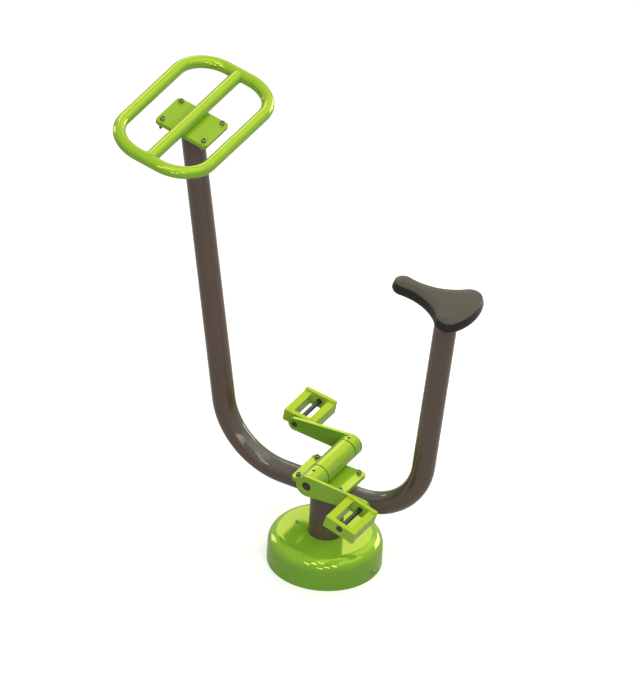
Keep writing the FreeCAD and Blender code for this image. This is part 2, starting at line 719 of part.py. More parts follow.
def build_saddle():
    """The seat plate, the saddle's steel base and bolts, and its moulded pad with a crown and round edges."""
    plate_top = SIZE["seat_plate_thickness"]
    plate = rounded_plate("seat_plate", SIZE["seat_plate_length"], SIZE["seat_plate_width"], plate_top,
                          SIZE["seat_plate_corner"], SIZE["seat_bolt_diameter"] + SIZE["push_fit"] * 2,
                          SIZE["seat_bolt_spacing_long"], SIZE["seat_bolt_spacing_wide"])
    keep("seat_plate", on_seat_tube(plate))

    low = SIZES["seat_plate_thickness"]
    edge, thickness = SIZES["saddle_edge_radius"], SIZES["saddle_thickness"]
    crown, base_top = SIZES["saddle_crown"], low + SIZES["saddle_base_thickness"]
    rim = thickness - crown
    mid_edge = edge * (1 - math.cos(math.radians(45)))
    sections = [(SIZES["saddle_tuck"], 0), (0, edge), (0, rim - edge), (mid_edge, rim - mid_edge),
                (edge, rim), (SIZES["saddle_crown_inset"], thickness)]
    pad_shape = Part.makeLoft([saddle_wire(inset, low + rise) for inset, rise in sections], True, True)
    base_wire = saddle_wire(SIZES["saddle_base_inset"], low)
    base_shape = Part.Face(base_wire).extrude(FreeCAD.Vector(0, 0, base_top - low))
    hole_x, hole_y = SIZES["seat_bolt_spacing_long"] / 2, SIZES["seat_bolt_spacing_wide"] / 2
    bolt_radius = SIZES["seat_bolt_diameter"] / 2 + SIZES["push_fit"]
    drills = [Part.makeCylinder(bolt_radius, base_top - low, FreeCAD.Vector(hole_x * i, hole_y * j, low))
              for i in (1, -1) for j in (1, -1)]
    for label, shape in (("saddle", pad_shape.cut(base_shape)), ("saddle_base", base_shape.cut(drills))):
        piece = doc.addObject("Part::Feature", label)
        piece.Shape = shape
        keep(label, on_seat_tube(piece))

    bolt = new_body("saddle_bolt")
    head = new_sketch(bolt, "XY_Plane")
    hexagon(head, SIZE["seat_bolt_flats"])
    pad(bolt, head, SIZE["seat_bolt_head_height"])
    shank = new_sketch(bolt, "XY_Plane")
    circle(shank, SIZE["seat_bolt_diameter"] / 2)
    pad(bolt, shank, SIZE["seat_bolt_head_height"] + plate_top + SIZE["saddle_base_thickness"])
    place(bolt, SIZE["seat_bolt_spacing_long"] / 2, SIZE["seat_bolt_spacing_wide"] / 2,
          -SIZE["seat_bolt_head_height"])
    keep("saddle_bolts", on_seat_tube(at_four_corners("saddle_bolts", bolt)))


housing_middle = SIZE["housing_offset"]
housing_end = SIZE["housing_length"] / 2
axle_radius = SIZE["bearing_bore"] / 2
bearing_radius = SIZE["bearing_diameter"] / 2
bearing_middle = housing_end - SIZE["bearing_setback"] - SIZE["bearing_width"] / 2
pitch_radius = (bearing_radius + axle_radius) / 2
SIDES = (("left", 1), ("right", -1))


def on_crank_axis(piece, y=NONE, turn=NONE):
    """Puts a piece drawn about the crank axle's line where it belongs."""
    return place(piece, NONE, y, crank_height, (0, 1, 0), turn)


def build_housing():
    """The crank's bolted plates, and the bearing housing that is welded on the upper one."""
    stretch = SIZE["plate_length"] * 2
    lower = bolted_plate("crank_mount_blank", SIZE["mount_plate_thickness"])
    bed = rod("crank_mount_bed", tube_radius, stretch, "X", z=SIZE["weld_seat"] - tube_radius)
    keep("crank_mount_plate", on_main_tube(cut("crank_mount_plate", lower, [bed])))
    upper = bolted_plate("crank_carrier_blank", SIZE["carrier_plate_thickness"])
    place(upper, z=SIZE["mount_plate_thickness"])
    axis_level = plate_stack - SIZE["weld_seat"] + housing_radius
    seat = rod("crank_carrier_seat", housing_radius, stretch, "Y", z=axis_level)
    tools = [seat]
    for side, sign in SIDES:
        tools.append(rod(f"{side}_boss_relief", SIZE["crank_big_end"] / 2 + SIZE["boss_relief"], stretch, "Y",
                         y=housing_middle + (housing_end + stretch / 2) * sign, z=axis_level))
    keep("crank_carrier_plate", on_main_tube(cut("crank_carrier_plate", upper, tools)))
    plate_fasteners("crank_plate", on_main_tube)

    outer, seat_radius = housing_radius, bearing_radius + SIZE["push_fit"]
    inner, groove = bearing_radius - SIZE["bearing_shoulder"], seat_radius + SIZE["circlip_depth"]
    end, face = housing_end, housing_end - SIZE["bearing_setback"]
    floor, clip = face - SIZE["bearing_width"], face + SIZE["circlip_thickness"] + SIZE["push_fit"] * 2
    bore = [(inner, floor), (seat_radius, floor), (seat_radius, face), (groove, face), (groove, clip),
            (seat_radius, clip), (seat_radius, end)]
    corners = [(outer, -end)] + [(r, -y) for r, y in reversed(bore)] + bore + [(outer, end)]
    keep("crank_housing", on_crank_axis(turned("crank_housing", corners, upright=False), housing_middle))

    clips, seals = [], []
    for side, sign in SIDES:
        near, far = face + SIZE["push_fit"], face + SIZE["push_fit"] + SIZE["circlip_thickness"]
        clip_inner = groove - SIZE["circlip_wall"]
        clips.append(ring(f"{side}_circlip", clip_inner, groove - SIZE["push_fit"], near * sign, far * sign,
                          upright=False, turn=CIRCLIP_OPENING))
        lip = far + SIZE["push_fit"] * 2
        seals.append(ring(f"{side}_seal", axle_radius + SIZE["free_gap"], bearing_radius, lip * sign,
                          (lip + SIZE["seal_thickness"]) * sign, upright=False))
    keep("bearing_circlips", on_crank_axis(group("bearing_circlips", clips), housing_middle))
    keep("axle_seals", on_crank_axis(group("axle_seals", seals), housing_middle))


def build_bearing(side, sign):
    """One ball bearing: grooved outer and inner rings, and the balls in their cage."""
    half, rim = SIZE["bearing_width"] / 2, SIZE["race_shoulder"]
    ball_radius = SIZE["ball_diameter"] / 2
    y = housing_middle + bearing_middle * sign
    for name, inner, outer in (("outer_ring", pitch_radius + rim, bearing_radius),
                               ("inner_ring", axle_radius + SIZE["push_fit"], pitch_radius - rim)):
        label = f"{side}_bearing_{name}"
        body = ring(label, inner, outer, -half, half, upright=False)
        track = new_sketch(body, "XY_Plane")
        circle(track, ball_radius + SIZE["ball_gap"], pitch_radius)
        groove = body.newObject("PartDesign::Groove", f"{label}_track")
        groove.Profile = track
        groove.ReferenceAxis = (track, ["V_Axis"])
        groove.Angle = FULL_TURN
        keep(label, on_crank_axis(body, y))

    label = f"{side}_bearing_cage"
    cage = ring(label, pitch_radius - SIZE["cage_wall"] / 2, pitch_radius + SIZE["cage_wall"] / 2,
                -SIZE["cage_width"] / 2, SIZE["cage_width"] / 2, upright=False)
    ball = cage.newObject("PartDesign::AdditiveSphere", f"{label}_ball")
    ball.setExpression("Radius", ball_radius.text)
    ball.setExpression("Placement.Base.x", pitch_radius.text)
    doc.recompute()
    balls = cage.newObject("PartDesign::PolarPattern", f"{label}_balls")
    balls.Originals = [ball]
    balls.Axis = (cage.Group[0], ["V_Axis"])
    balls.Angle = FULL_TURN
    balls.Occurrences = BALL_COUNT
    cage.Tip = balls
    keep(label, on_crank_axis(cage, y))


crank_face = SIZE["crank_spread"] / 2
boss_end = crank_face - SIZE["crank_thickness"]
key_top = axle_radius - SIZE["key_depth"] + SIZE["key_height"]


def boss_start(sign):
    """How far from the middle plane the crank boss on one side starts."""
    return housing_end + SIZE["crank_gap"] + housing_middle * sign


def boss_middle(sign):
    """The middle of the crank boss on one side, where its key and set screw are."""
    return (boss_start(sign) + boss_end) / 2 * sign


def build_axle():
    """The crank axle with its bearing shoulders and keyways, the keys, and the set screws on them."""
    tip, inner = crank_face - SIZE["axle_recess"], bearing_middle - SIZE["bearing_width"] / 2
    thick = axle_radius + SIZE["axle_shoulder"]
    left, right = housing_middle + inner, housing_middle - inner
    corners = [(NONE, -tip), (axle_radius, -tip), (axle_radius, right), (thick, right),
               (thick, left), (axle_radius, left), (axle_radius, tip), (NONE, tip)]
    blank = turned("crank_axle_blank", corners, upright=False)
    slots, keys, screws = [], [], []
    fit = SIZE["push_fit"]
    for side, sign in SIDES:
        middle = boss_middle(sign)
        slots.append(box(f"{side}_keyway", SIZE["key_width"] + fit * 2, SIZE["key_length"] + fit * 2,
                         SIZE["key_depth"] * 2, NONE, middle, axle_radius))
        keys.append(box(f"{side}_key", SIZE["key_width"], SIZE["key_length"], SIZE["key_height"],
                        NONE, middle, key_top - SIZE["key_height"] / 2))
        screw_top = SIZE["crank_big_end"] / 2 - SIZE["set_screw_recess"]
        screw = new_body(f"{side}_set_screw")
        shank = new_sketch(screw, "XY_Plane", key_top)
        circle(shank, SIZE["set_screw_diameter"] / 2)
        pad(screw, shank, screw_top - key_top)
        hex_pocket(screw, SIZE["set_screw_socket"], SIZE["set_screw_socket"], screw_top)
        place(screw, y=middle)
        screws.append(screw)
    keep("crank_axle", on_crank_axis(cut("crank_axle", blank, slots)))
    keep("crank_keys", on_crank_axis(group("crank_keys", keys)))
    keep("crank_set_screws", on_crank_axis(group("crank_set_screws", screws)))


def build_crank(side, sign):
    """One crank: a keyed boss on the axle and a tapered arm welded to it."""
    fit = SIZE["push_fit"]
    radius, hole = SIZE["crank_big_end"] / 2, axle_radius + fit
    sleeve = ring(f"{side}_crank_boss_blank", hole, radius, boss_start(sign) * sign, boss_end * sign,
                  upright=False)
    keyway = box(f"{side}_boss_keyway", SIZE["key_width"] + fit * 2, SIZE["crank_spread"],
                 key_top + fit - hole + SIZE["key_depth"], NONE, NONE,
                 (key_top + fit + hole - SIZE["key_depth"]) / 2)
    tapped = rod(f"{side}_boss_screw_hole", SIZE["set_screw_diameter"] / 2 + fit, radius, "Z",
                 NONE, boss_middle(sign), radius)
    keep(f"{side}_crank_boss", on_crank_axis(cut(f"{side}_crank_boss", sleeve, [keyway, tapped])))

    small, length = SIZE["crank_small_end"] / 2, SIZE["crank_length"]
    lean = (radius - small) / length
    rise = root(as_size(1) - lean * lean)
    arm = new_body(f"{side}_crank_arm")
    sketch = new_sketch(arm, "XZ_Plane")
    corners = [(radius * lean, radius * rise), (-radius, NONE), (radius * lean, -(radius * rise)),
               (length + small * lean, -(small * rise)), (length + small * lean, small * rise)]
    trace(sketch, corners, {0: (NONE, NONE, radius), 1: (NONE, NONE, radius), 3: (length, NONE, small)})
    circle(sketch, hole)
    circle(sketch, SIZE["spindle_thread"] / 2 + fit, length)
    pad(arm, sketch, SIZE["crank_thickness"], middle=True)
    middle = (crank_face - SIZE["crank_thickness"] / 2) * sign
    keep(f"{side}_crank_arm", on_crank_axis(arm, middle, 180 if sign > 0 else 0))


def pedal_blank(label):
    """A pedal: a block with a window, a lip along its right end, and a recess and a bore at each end."""
    x, y, z = SIZE["pedal_length"], SIZE["pedal_width"], SIZE["pedal_height"]
    top = z / 2 - SIZE["pedal_spindle_rise"]
    body = new_body(label)
    outline = new_sketch(body, "YZ_Plane")
    edge, lip = SIZE["pedal_edge"], SIZE["pedal_lip_height"]
    lip_inner = SIZE["pedal_lip_wall"] - y / 2
    trace(outline, [(-(y / 2), top - z + edge), (edge - y / 2, top - z), (y / 2 - edge, top - z),
                    (y / 2, top - z + edge), (y / 2, top - edge), (y / 2 - edge, top),
                    (lip_inner, top), (lip_inner, top + lip - edge), (lip_inner - edge, top + lip),
                    (edge - y / 2, top + lip), (-(y / 2), top + lip - edge)])
    pad(body, outline, x, middle=True)
    window = new_sketch(body, "XY_Plane")
    side, far = x / 2 - SIZE["pedal_side"], y / 2 - SIZE["pedal_plain_wall"]
    trace(window, [(-side, lip_inner), (side, lip_inner), (side, far), (-side, far)])
    pocket(body, window)
    return body


def build_pedal(side, sign):
    """One pedal on its spindle: block, bushes, thrust washers and a retaining clip."""
    fit, gap, half = SIZE["push_fit"], SIZE["free_gap"], SIZE["pedal_width"] / 2
    crank_gap = SIZE[f"{side}_pedal_gap"]
    shaft = SIZE["spindle_diameter"] / 2
    bush_inner = shaft + SIZE["running_fit"]
    bush_outer = bush_inner + SIZE["bush_wall"]
    sunk = half - SIZE["pedal_recess_depth"]
    turn = -SIZE[f"{side}_pedal_tilt"]
    x = SIZE["crank_length"] * -sign
    y = (crank_face + crank_gap + half) * sign

    def on_spindle(piece, tilt=NONE):
        """Puts a piece drawn about the middle of the pedal where it belongs."""
        return place(piece, x, y, crank_height, (0, 1, 0), tilt)

    blank = pedal_blank(f"{side}_pedal_blank")
    bore = rod(f"{side}_pedal_bore", bush_outer + fit, SIZE["pedal_width"] * 2, "Y")
    recesses = [rod(f"{side}_pedal_recess_{name}", SIZE["pedal_recess_diameter"] / 2,
                    SIZE["pedal_recess_depth"] * 2, "Y", y=half * end)
                for name, end in (("plain", 1), ("lip", -1))]
    keep(f"{side}_pedal_body", on_spindle(cut(f"{side}_pedal_body", blank, [bore] + recesses), turn))

    bushes = [ring(f"{side}_plain_bush", bush_inner, bush_outer, half - SIZE["pedal_plain_wall"], sunk,
                   upright=False),
              ring(f"{side}_lip_bush", bush_inner, bush_outer, -sunk, SIZE["pedal_lip_wall"] - half,
                   upright=False)]
    keep(f"{side}_pedal_bushes", on_spindle(group(f"{side}_pedal_bushes", bushes), turn))

    washer, clip = SIZE["spindle_washer_thickness"], SIZE["spindle_clip_thickness"]
    groove = shaft - SIZE["spindle_clip_depth"]
    collar, thread = shaft + SIZE["spindle_washer_wall"], SIZE["spindle_thread"] / 2
    root_end = half + crank_gap + SIZE["crank_thickness"]
    collar_end, clip_start = sunk + gap + washer, sunk + gap + washer + fit
    profile = [(NONE, -root_end), (thread, -root_end), (thread, -(half + crank_gap)),
               (collar, -(half + crank_gap)), (collar, -collar_end), (shaft, -collar_end),
               (shaft, clip_start), (groove, clip_start), (groove, clip_start + clip + fit),
               (shaft, clip_start + clip + fit), (shaft, half), (NONE, half)]
    spindle = turned(f"{side}_pedal_spindle", [(r, along * sign) for r, along in profile], upright=False)
    keep(f"{side}_pedal_spindle", on_spindle(spindle))
    washers = [ring(f"{side}_washer_{name}", shaft + fit, collar, (sunk + gap) * end, collar_end * end,
                    upright=False)
               for name, end in (("outer", 1), ("inner", -1))]
    keep(f"{side}_pedal_washers", on_spindle(group(f"{side}_pedal_washers", washers)))
    retainer = ring(f"{side}_pedal_clip", groove + fit, groove + SIZE["spindle_clip_wall"], clip_start * sign,
                    (clip_start + clip) * sign, upright=False, turn=CIRCLIP_OPENING)
    keep(f"{side}_pedal_clip", on_spindle(retainer))


def check_document():
    """Stops the build if an object failed or a sub-part has no sound solid."""
    for thing in doc.Objects:
        if "Invalid" in thing.State or "Error" in thing.State:
            raise RuntimeError(f"{thing.Label} failed: {thing.State}")
    for label, piece in parts.items():
        if piece.Shape.isNull() or not piece.Shape.isValid() or not piece.Shape.Solids:
            raise RuntimeError(f"{label} has no sound solid")


def write_parts():
    """Writes each sub-part's solids to its own file."""
    os.makedirs("parts", exist_ok=True)
    for label, piece in parts.items():
        solids = piece.Shape.Solids
        shape = solids[0] if len(solids) == 1 else Part.makeCompound(solids)
        shape.exportStep(f"parts/{label}.step")
        print(label, len(solids), "solid(s)", round(shape.Volume / 1000, 2), "cm3")


def main():
    """Builds the bike from the ground up."""
    build_base()
    build_cover()
    build_main_tube()
    build_handlebar()
    build_saddle()
    build_housing()
    build_axle()
    for side, sign in SIDES:
        build_bearing(side, sign)
        build_crank(side, sign)
        build_pedal(side, sign)
    doc.recompute()
    check_document()
    write_parts()


main()
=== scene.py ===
"""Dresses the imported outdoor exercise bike.

Adds paint, welds, screws, pedals and the saddle, and sets up a studio and a camera.
"""

import json
import logging
import math
from dataclasses import dataclass, field
from enum import Enum
from typing import Any, Iterable, Protocol, Sequence

import bmesh
import bpy
from mathutils import Euler, Matrix, Vector


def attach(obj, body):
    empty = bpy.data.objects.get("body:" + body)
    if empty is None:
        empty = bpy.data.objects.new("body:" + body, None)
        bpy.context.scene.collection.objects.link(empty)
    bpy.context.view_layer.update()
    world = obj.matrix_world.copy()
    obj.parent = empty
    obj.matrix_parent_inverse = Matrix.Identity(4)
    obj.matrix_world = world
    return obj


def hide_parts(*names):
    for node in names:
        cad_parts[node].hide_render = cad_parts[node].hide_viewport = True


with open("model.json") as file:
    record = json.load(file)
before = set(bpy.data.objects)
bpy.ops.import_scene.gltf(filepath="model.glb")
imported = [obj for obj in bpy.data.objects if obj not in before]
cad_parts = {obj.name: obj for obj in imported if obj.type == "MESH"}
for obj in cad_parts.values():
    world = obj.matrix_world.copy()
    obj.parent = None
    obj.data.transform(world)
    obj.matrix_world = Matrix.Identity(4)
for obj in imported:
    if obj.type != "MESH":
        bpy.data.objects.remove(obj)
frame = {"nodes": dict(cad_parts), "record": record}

LOG = logging.getLogger("exercise_bike")
Colour = tuple[float, float, float, float]
Ring = list[bmesh.types.BMVert]
WHITE: Colour = (1.0, 1.0, 1.0, 1.0)
# Normal slopes between which upward-facing surfaces blend into a painted lit copy of their colour.
PAINTED_TOP_LIGHT_SLOPES = (0.25, 0.95)
BORDER_WIDTH = 0.2
BORDER_SCALE = 30.0
SHADE = 0.6
BUMP_DEPTH = 0.0003
BEVEL_ANGLE = math.radians(38)
BEVEL_SEGMENTS = 3
UNCREASED = 180.0
TUBE_SIDES = 72
TURNED_SIDES = 96
BORE_SIDES = 48
RIPPLE_PITCH = 0.8
OVERCUT = 0.01
WELD_SEED = 7
PLATE_SEED = 3
COVER_SEED = 11
SADDLE_SEED = 21


class Slot(Enum):
    """The record's material slots."""

    GREEN = "green_paint"
    GREY = "grey_paint"
    SADDLE = "saddle_skin"
    STEEL = "plain_steel"
    GALVANISED = "galvanised_steel"
    RUBBER = "seal_rubber"
    BRONZE = "bush_bronze"
    PEDAL = "pedal_moulding"


class Body(Enum):
    """The bodies that the dressed pieces move with."""

    FRAME = "frame"
    CRANK = "crank"
    LEFT_PEDAL = "left_pedal"
    RIGHT_PEDAL = "right_pedal"


class Side(Enum):
    """The rider's two sides, each with its direction along Y."""

    LEFT = 1
    RIGHT = -1

    @property
    def word(self) -> str:
        """The side's name in the CAD nodes."""
        return self.name.lower()


def srgb(red: int, green: int, blue: int) -> Colour:
    """Turns a colour chart's numbers from 0 to 255 into linear light.

    Args:
        red: The red number.
        green: The green number.
        blue: The blue number.

    Returns:
        The colour that a shader socket takes.
    """
    def linear(number: int) -> float:
        """One channel in linear light."""
        share = number / 255
        return share / 12.92 if share <= 0.04045 else ((share + 0.055) / 1.055) ** 2.4

    return linear(red), linear(green), linear(blue), 1.0


def shaded(colour: Colour) -> Colour:
    """A darker form of a colour."""
    red, green, blue, _ = colour
    return SHADE * red, SHADE * green, SHADE * blue, 1.0


def grey(level: float) -> Colour:
    """A grey of that level in linear light."""
    return level, level, level, 1.0


class Signal:
    """A number on a node tree's wire that plain arithmetic works on."""

    def __init__(self, graph: "Graph", socket: bpy.types.NodeSocket) -> None:
        """Keeps the tree and the output socket that carries the number."""
        self.graph = graph
        self.socket = socket

    def _maths(self, operation: str, first: Any, second: Any) -> "Signal":
        """Adds a Math node for one operation on two numbers."""
        node = self.graph.node("ShaderNodeMath", {"operation": operation}, {0: first, 1: second})
        return Signal(self.graph, node.outputs[0])

    def __add__(self, other: Any) -> "Signal":
        """The sum."""
        return self._maths("ADD", self, other)

    def __radd__(self, other: Any) -> "Signal":
        """The sum, with the number first."""
        return self._maths("ADD", other, self)

    def __sub__(self, other: Any) -> "Signal":
        """The difference."""
        return self._maths("SUBTRACT", self, other)

    def __rsub__(self, other: Any) -> "Signal":
        """The difference, with the number first."""
        return self._maths("SUBTRACT", other, self)

    def __mul__(self, other: Any) -> "Signal":
        """The product."""
        return self._maths("MULTIPLY", self, other)

    def __rmul__(self, other: Any) -> "Signal":
        """The product, with the number first."""
        return self._maths("MULTIPLY", other, self)


class Graph:
    """A node tree that is written as calls."""

    def __init__(self, tree: bpy.types.NodeTree) -> None:
        """Starts on an empty tree."""
        self.tree = tree
        self.tree.nodes.clear()

    @staticmethod
    def _socket(sockets: Any, key: str | int) -> bpy.types.NodeSocket:
        """Finds a socket.

        Args:
            sockets: A node's inputs or outputs.
            key: The socket's number, identifier or name.

        Returns:
            The socket.
        """
        if isinstance(key, int):
            return sockets[key]
        return next((socket for socket in sockets if socket.identifier == key), None) or sockets[key]

    def node(self, kind: str, settings: dict[str, Any] | None = None,
             sockets: dict[str | int, Any] | None = None) -> bpy.types.Node:
        """Adds a node.

        Args:
            kind: The node's type.
            settings: Its own settings, which are set first.
            sockets: A value or a link for each input, by number, identifier or name.

        Returns:
            The node.
        """
        made = self.tree.nodes.new(kind)
        for name, value in (settings or {}).items():
            setattr(made, name, value)
        for key, value in (sockets or {}).items():
            target = self._socket(made.inputs, key)
            value = value.socket if isinstance(value, Signal) else value
            if isinstance(value, bpy.types.NodeSocket):
                self.tree.links.new(value, target)
            else:
                target.default_value = value
        return made


class Shader(Graph):
    """A material's node tree, on the object's own coordinates."""

    def __init__(self, name: str) -> None:
        """Starts a material.

        Args:
            name: The material's name.
        """
        self.material = bpy.data.materials.new(name)
        self.material.use_nodes = True
        super().__init__(self.material.node_tree)
        self.origin = self.node("ShaderNodeTexCoord")
        self.place = self.origin.outputs["Object"]

    def upward(self, low: float, high: float) -> Signal:
        """Measures how far the surface looks up, as the share of painted top light, with an uneven border.

        Args:
            low: The slope at which the share starts.
            high: The slope at which it is one.

        Returns:
            The share.
        """
        slope = self.node("ShaderNodeSeparateXYZ", None, {0: self.origin.outputs["Normal"]}).outputs["Z"]
        uneven = Signal(self, slope) + BORDER_WIDTH * self.noise(BORDER_SCALE, detail=3.0)
        return self.between(uneven, low + BORDER_WIDTH / 2, high + BORDER_WIDTH / 2)

    def stretched(self, scale: tuple[float, float, float]) -> bpy.types.NodeSocket:
        """The coordinates, stretched so that a pattern runs one way."""
        return self.node("ShaderNodeMapping", None, {"Vector": self.place, "Scale": scale}).outputs[0]

    def noise(self, scale: float, detail: float = 2.0,
              place: bpy.types.NodeSocket | None = None) -> Signal:
        """Adds a soft random pattern.

        Args:
            scale: How many features there are in a metre.
            detail: How many finer layers it has.
            place: The coordinates, if they aren't the object's own.

        Returns:
            The pattern, about one half in the middle.
        """
        node = self.node("ShaderNodeTexNoise", None,
                         {"Vector": place or self.place, "Scale": scale, "Detail": detail})
        return Signal(self, node.outputs[0])

    def cells(self, scale: float) -> bpy.types.Node:
        """Adds a pattern of cells, with so many in a metre."""
        return self.node("ShaderNodeTexVoronoi", None, {"Vector": self.place, "Scale": scale})

    def between(self, signal: Signal, low: float, high: float) -> Signal:
        """Stretches a part of a pattern's range to 0 and 1."""
        node = self.node("ShaderNodeMapRange", None, {"Value": signal, "From Min": low, "From Max": high})
        return Signal(self, node.outputs[0])

    def blend(self, share: Signal, first: Any, second: Any) -> bpy.types.NodeSocket:
        """Mixes two colours.

        Args:
            share: How much of the second colour there is.
            first: The first colour or its link.
            second: The second colour or its link.

        Returns:
            The mixed colour's socket.
        """
        node = self.node("ShaderNodeMix", {"data_type": "RGBA"},
                         {"Factor_Float": share, "A_Color": first, "B_Color": second})
        return self._socket(node.outputs, "Result_Color")

    def relief(self, height: Signal, strength: float, depth: float) -> bpy.types.NodeSocket:
        """Turns a pattern into surface relief.

        Args:
            height: The pattern.
            strength: How much of the relief shows.
            depth: How deep it is, in metres.

        Returns:
            The normal's socket.
        """
        node = self.node("ShaderNodeBump", None, {"Height": height, "Strength": strength, "Distance": depth})
        return node.outputs["Normal"]

    def finished(self, sockets: dict[str, Any]) -> bpy.types.Material:
        """Ends the material in a surface shader.

        Args:
            sockets: The values and links of the shader's inputs.

        Returns:
            The material.
        """
        surface = self.node("ShaderNodeBsdfPrincipled", None, sockets)
        self.node("ShaderNodeOutputMaterial", None, {"Surface": surface.outputs[0]})
        return self.material


class Finish(Protocol):
    """Anything that can make a material."""

    def make(self) -> bpy.types.Material:
        """Makes the material."""


@dataclass(frozen=True)
class Paint:
    """A gloss powder coat with a little flake in it: painted top light makes it lighter and yellower on top,
    with orange peel and fine dust.
    """

    name: str
    tone: Colour
    faded: Colour
    glint: Colour
    roughness: float
    flake: float
    ior: float
    peel: float = 0.03
    fine_peel: float = 0.35
    drift_share: float = 0.1
    drift_gloss: float = 0.5
    dust_share: float = 0.04
    dust_gloss: float = 1.2
    dust_cover: float = 0.4
    dust: Colour = srgb(170, 164, 150)

    def make(self) -> bpy.types.Material:
        """Makes the material.

        Returns:
            The material.
        """
        shader = Shader(self.name)
        drift = shader.between(shader.noise(scale=6.0, detail=3.0), low=0.3, high=0.7)
        dust = shader.between(shader.noise(scale=210.0, detail=4.0), low=0.56, high=0.8)
        peel = shader.noise(scale=420.0, detail=1.0) + self.fine_peel * shader.noise(scale=1300.0, detail=1.0)
        # Painted light: upward-facing surfaces blend into a lighter, yellower copy of the tone.
        colour = shader.blend(shader.upward(*PAINTED_TOP_LIGHT_SLOPES), self.tone, self.faded)
        colour = shader.blend(self.drift_share * drift, colour, shaded(self.tone))
        colour = shader.blend(self.dust_share * dust, colour, self.dust)
        roughness = self.roughness * (1 + self.drift_gloss * drift + self.dust_gloss * dust)
        return shader.finished({"Base Color": colour, "Roughness": roughness, "IOR": self.ior,
                                "Metallic": self.flake * (1 - self.dust_cover * dust),
                                "Specular Tint": self.glint,
                                "Normal": shader.relief(peel, self.peel, BUMP_DEPTH)})


@dataclass(frozen=True)
class Moulding:
    """A hard glossy moulding with a spark-eroded surface, faint flow lines, scuffs from shoes and a painted
    lighter top.
    """

    name: str
    tone: Colour
    weathered: Colour
    roughness: float
    ior: float
    flow_share: float = 0.12
    flow_gloss: float = 0.08
    scuff_share: float = 0.05
    scuff_gloss: float = 0.12
    scuff: Colour = srgb(206, 212, 172)

    def make(self) -> bpy.types.Material:
        """Makes the material.

        Returns:
            The material.
        """
        shader = Shader(self.name)
        flow = shader.noise(scale=16.0, detail=3.0, place=shader.stretched((0.6, 1.0, 3.0)))
        grit = shader.noise(scale=900.0, detail=2.0)
        marks = shader.noise(scale=70.0, detail=5.0, place=shader.stretched((1.0, 0.25, 1.0)))
        scuff = shader.between(marks, low=0.62, high=0.78)
        # Painted light: upward-facing surfaces blend into a lighter copy of the tone.
        colour = shader.blend(shader.upward(*PAINTED_TOP_LIGHT_SLOPES), self.tone, self.weathered)
        colour = shader.blend(self.flow_share * flow, colour, shaded(self.tone))
        colour = shader.blend(self.scuff_share * scuff, colour, self.scuff)
        roughness = self.roughness + self.flow_gloss * flow + self.scuff_gloss * scuff
        return shader.finished({"Base Color": colour, "Roughness": roughness, "IOR": self.ior,
                                "Normal": shader.relief(grit, strength=0.05, depth=BUMP_DEPTH)})


@dataclass(frozen=True)
class SaddleSkin:
    """A matt self-skinning foam with a pebbled grain, painted lighter on top as painted light, and rubbed
    smoother in patches.
    """

    name: str
    tone: Colour
    weathered: Colour
    roughness: float
    ior: float
    rub_share: float = 0.12
    rub_gloss: float = 0.12
    rubbed: Colour = srgb(60, 56, 46)
    hollow_share: float = 0.2
    hollow: Colour = srgb(40, 37, 31)
    pebble_height: float = 0.8
    fold_height: float = 0.2
    fold_gloss: float = 0.1

    def make(self) -> bpy.types.Material:
        """Makes the material.

        Returns:
            The material.
        """
        shader = Shader(self.name)
        pebble = Signal(shader, shader.cells(scale=620.0).outputs["Distance"])
        fold = shader.noise(scale=1500.0, detail=2.0)
        rub = shader.between(shader.noise(scale=13.0, detail=3.0), low=0.35, high=0.7)
        # Painted light: upward-facing surfaces blend into a lighter copy of the dark side tone.
        colour = shader.blend(shader.upward(low=0.35, high=0.95), self.tone, self.weathered)
        colour = shader.blend(self.rub_share * rub, colour, self.rubbed)
        hollow = shader.between(pebble, low=0.3, high=0.7)
        colour = shader.blend(self.hollow_share * hollow, colour, self.hollow)
        roughness = self.roughness - self.rub_gloss * rub + self.fold_gloss * fold
        height = self.pebble_height * (1 - pebble) + self.fold_height * fold
        relief = shader.relief(height, strength=0.18, depth=0.0006)
        return shader.finished({"Base Color": colour, "Roughness": roughness, "Normal": relief,
                                "IOR": self.ior})


@dataclass(frozen=True)
class Steel:
    """Turned steel: fine tool lines, darker oil stains and uneven gloss."""

    name: str
    tone: Colour
    stain: Colour
    roughness: float
    line_gloss: float = 0.14
    oil_share: float = 0.6
    oil_gloss: float = 0.1

    def make(self) -> bpy.types.Material:
        """Makes the material.

        Returns:
            The material.
        """
        shader = Shader(self.name)
        lines = shader.noise(scale=300.0, detail=3.0, place=shader.stretched((0.4, 0.4, 6.0)))
        oil = shader.between(shader.noise(scale=90.0, detail=4.0), low=0.45, high=0.75)
        colour = shader.blend(self.oil_share * oil, self.tone, self.stain)
        roughness = self.roughness + self.line_gloss * lines + self.oil_gloss * oil
        return shader.finished({"Base Color": colour, "Roughness": roughness, "Metallic": 1.0,
                                "Normal": shader.relief(lines, strength=0.08, depth=0.0002)})


@dataclass(frozen=True)
class Galvanised:
    """A zinc coat with its flowered crystals."""

    name: str
    tone: Colour
    shade: Colour
    roughness: float = 0.34
    metallic: float = 0.85
    flower_gloss: float = 0.2
    grain_gloss: float = 0.08

    def make(self) -> bpy.types.Material:
        """Makes the material.

        Returns:
            The material.
        """
        shader = Shader(self.name)
        flower = shader.cells(scale=95.0)
        share = Signal(shader, shader.node("ShaderNodeSeparateColor", None,
                                           {"Color": flower.outputs["Color"]}).outputs[0])
        colour = shader.blend(share, self.shade, self.tone)
        grain = shader.noise(scale=240.0, detail=3.0)
        roughness = self.roughness + self.flower_gloss * share + self.grain_gloss * grain
        return shader.finished({"Base Color": colour, "Roughness": roughness, "Metallic": self.metallic,
                                "Normal": shader.relief(share, strength=0.05, depth=BUMP_DEPTH)})


